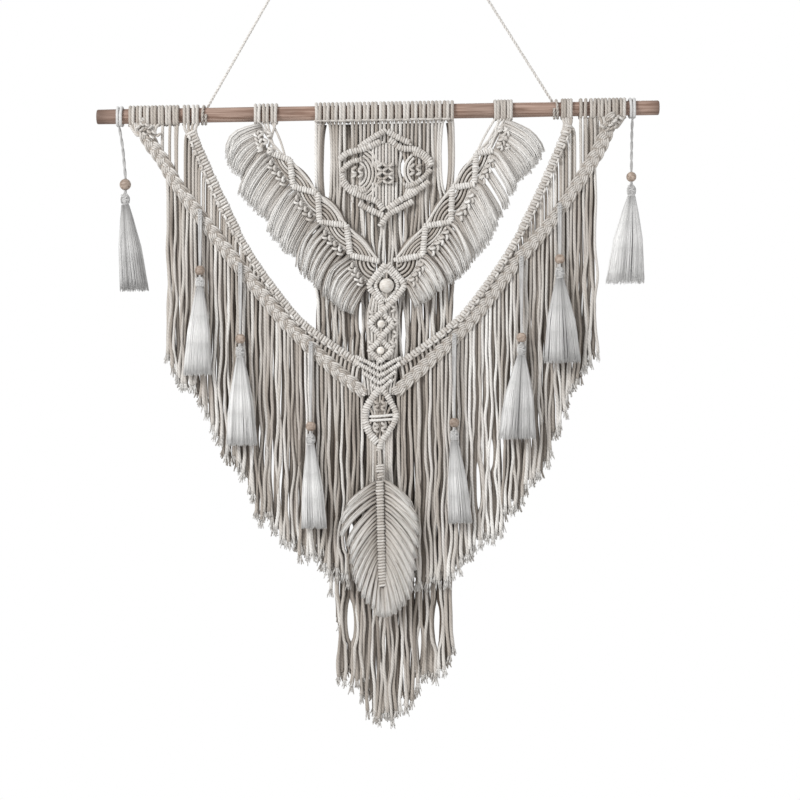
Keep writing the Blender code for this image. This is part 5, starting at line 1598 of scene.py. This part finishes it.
class MACRAME_OT_studio(Operator):
    """Set up the camera, the soft light and the pale floor"""

    bl_idname = "macrame.studio"
    bl_label = "Studio"

    def execute(self, context):
        looks = context.scene.macrame_studio
        scene = context.scene
        scene.view_settings.view_transform = "Standard"
        self.camera(scene, looks)
        self.surroundings(scene, looks)
        for name, where, aim, size in LAMPS:
            self.lamp(scene, f"{name}_light", where, aim, getattr(looks, name), size)
        self.floor(scene, looks)
        return {"FINISHED"}

    def floor(self, scene, looks):
        """Lay the floor."""
        mesh = bpy.data.meshes.new("floor")
        corners = [(x * FLOOR_HALF, y * FLOOR_HALF, FLOOR_Z)
                   for x, y in ((-1, -1), (1, -1), (1, 1), (-1, 1))]
        mesh.from_pydata(corners, [], [(0, 1, 2, 3)])
        material, tree, shader = new_material("floor paint", 0.8, 0.0, 0.2)
        noise = add(tree, "ShaderNodeTexNoise", Scale=3.0)
        mixed = mix_colour(tree, "MIX", noise.outputs["Fac"], tuple(looks.floor), FLOOR_SPECKLE)
        tree.links.new(mixed, shader.inputs["Base Color"])
        mesh.materials.append(material)
        floor = bpy.data.objects.new("floor", mesh)
        scene.collection.objects.link(floor)

    def camera(self, scene, looks):
        """Place the camera square in front of the work."""
        data = bpy.data.cameras.new("camera")
        data.lens = looks.lens
        camera = bpy.data.objects.new("camera", data)
        away = looks.frame_width * looks.lens / data.sensor_width
        camera.location = (looks.centre_x, -away, looks.centre_z)
        camera.rotation_euler = (math.radians(90), 0, 0)
        scene.collection.objects.link(camera)
        scene.camera = camera

    def surroundings(self, scene, looks):
        """Make white surroundings that light the work softly and look white to the camera."""
        world = bpy.data.worlds.new("studio")
        world.use_nodes = True
        tree = world.node_tree
        back = tree.nodes["Background"]
        path = add(tree, "ShaderNodeLightPath")
        strength = linear(tree, path.outputs["Is Camera Ray"], 1.0 - looks.sky, looks.sky)
        tree.links.new(strength, back.inputs["Strength"])
        back.inputs["Color"].default_value = (1.0, 1.0, 1.0, 1.0)
        scene.world = world

    def lamp(self, scene, name, where, aim, power, size):
        """Hang a large square lamp and turn it to the work."""
        data = bpy.data.lights.new(name, "AREA")
        data.energy = power
        data.size = size
        lamp = bpy.data.objects.new(name, data)
        lamp.location = where
        way = np.array(aim) - np.array(where)
        side, height = math.hypot(way[0], way[1]), way[2]
        lamp.rotation_euler = (math.atan2(side, -height), 0, math.atan2(-way[0], way[1]))
        scene.collection.objects.link(lamp)


# ---------------------------------------------------------------- panel and main

PIECES = (MACRAME_OT_rod, MACRAME_OT_beads, MACRAME_OT_hanging_cord, MACRAME_OT_centre_panel,
          MACRAME_OT_swags, MACRAME_OT_wings, MACRAME_OT_column, MACRAME_OT_leaf,
          MACRAME_OT_tassels, MACRAME_OT_studio)


class MACRAME_PT_panel(Panel):
    """Lists the operators and their settings"""

    bl_label = "Macrame"
    bl_idname = "MACRAME_PT_panel"
    bl_space_type = "VIEW_3D"
    bl_region_type = "UI"
    bl_category = "Macrame"

    def draw(self, context):
        for item in PIECES:
            self.layout.operator(item.bl_idname)
        for group in (context.scene.macrame_cords, context.scene.macrame_wood,
                      context.scene.macrame_studio):
            box = self.layout.box()
            for key in group.__annotations__:
                box.prop(group, key)


CLASSES = (CordLooks, WoodLooks, StudioLooks) + PIECES + (MACRAME_PT_panel,)


def register():
    """Register the classes and hang their settings on the scene."""
    for item in CLASSES:
        bpy.utils.register_class(item)
    bpy.types.Scene.macrame_cords = PointerProperty(type=CordLooks)
    bpy.types.Scene.macrame_wood = PointerProperty(type=WoodLooks)
    bpy.types.Scene.macrame_studio = PointerProperty(type=StudioLooks)


def unregister():
    """Take the settings off the scene and unregister the classes."""
    del bpy.types.Scene.macrame_cords
    del bpy.types.Scene.macrame_wood
    del bpy.types.Scene.macrame_studio
    for item in reversed(CLASSES):
        bpy.utils.unregister_class(item)


def main():
    """Register the add-on and make every piece."""
    register()
    for item in PIECES:
        area, name = item.bl_idname.split(".")
        getattr(getattr(bpy.ops, area), name)()


if __name__ == "__main__":
    main()
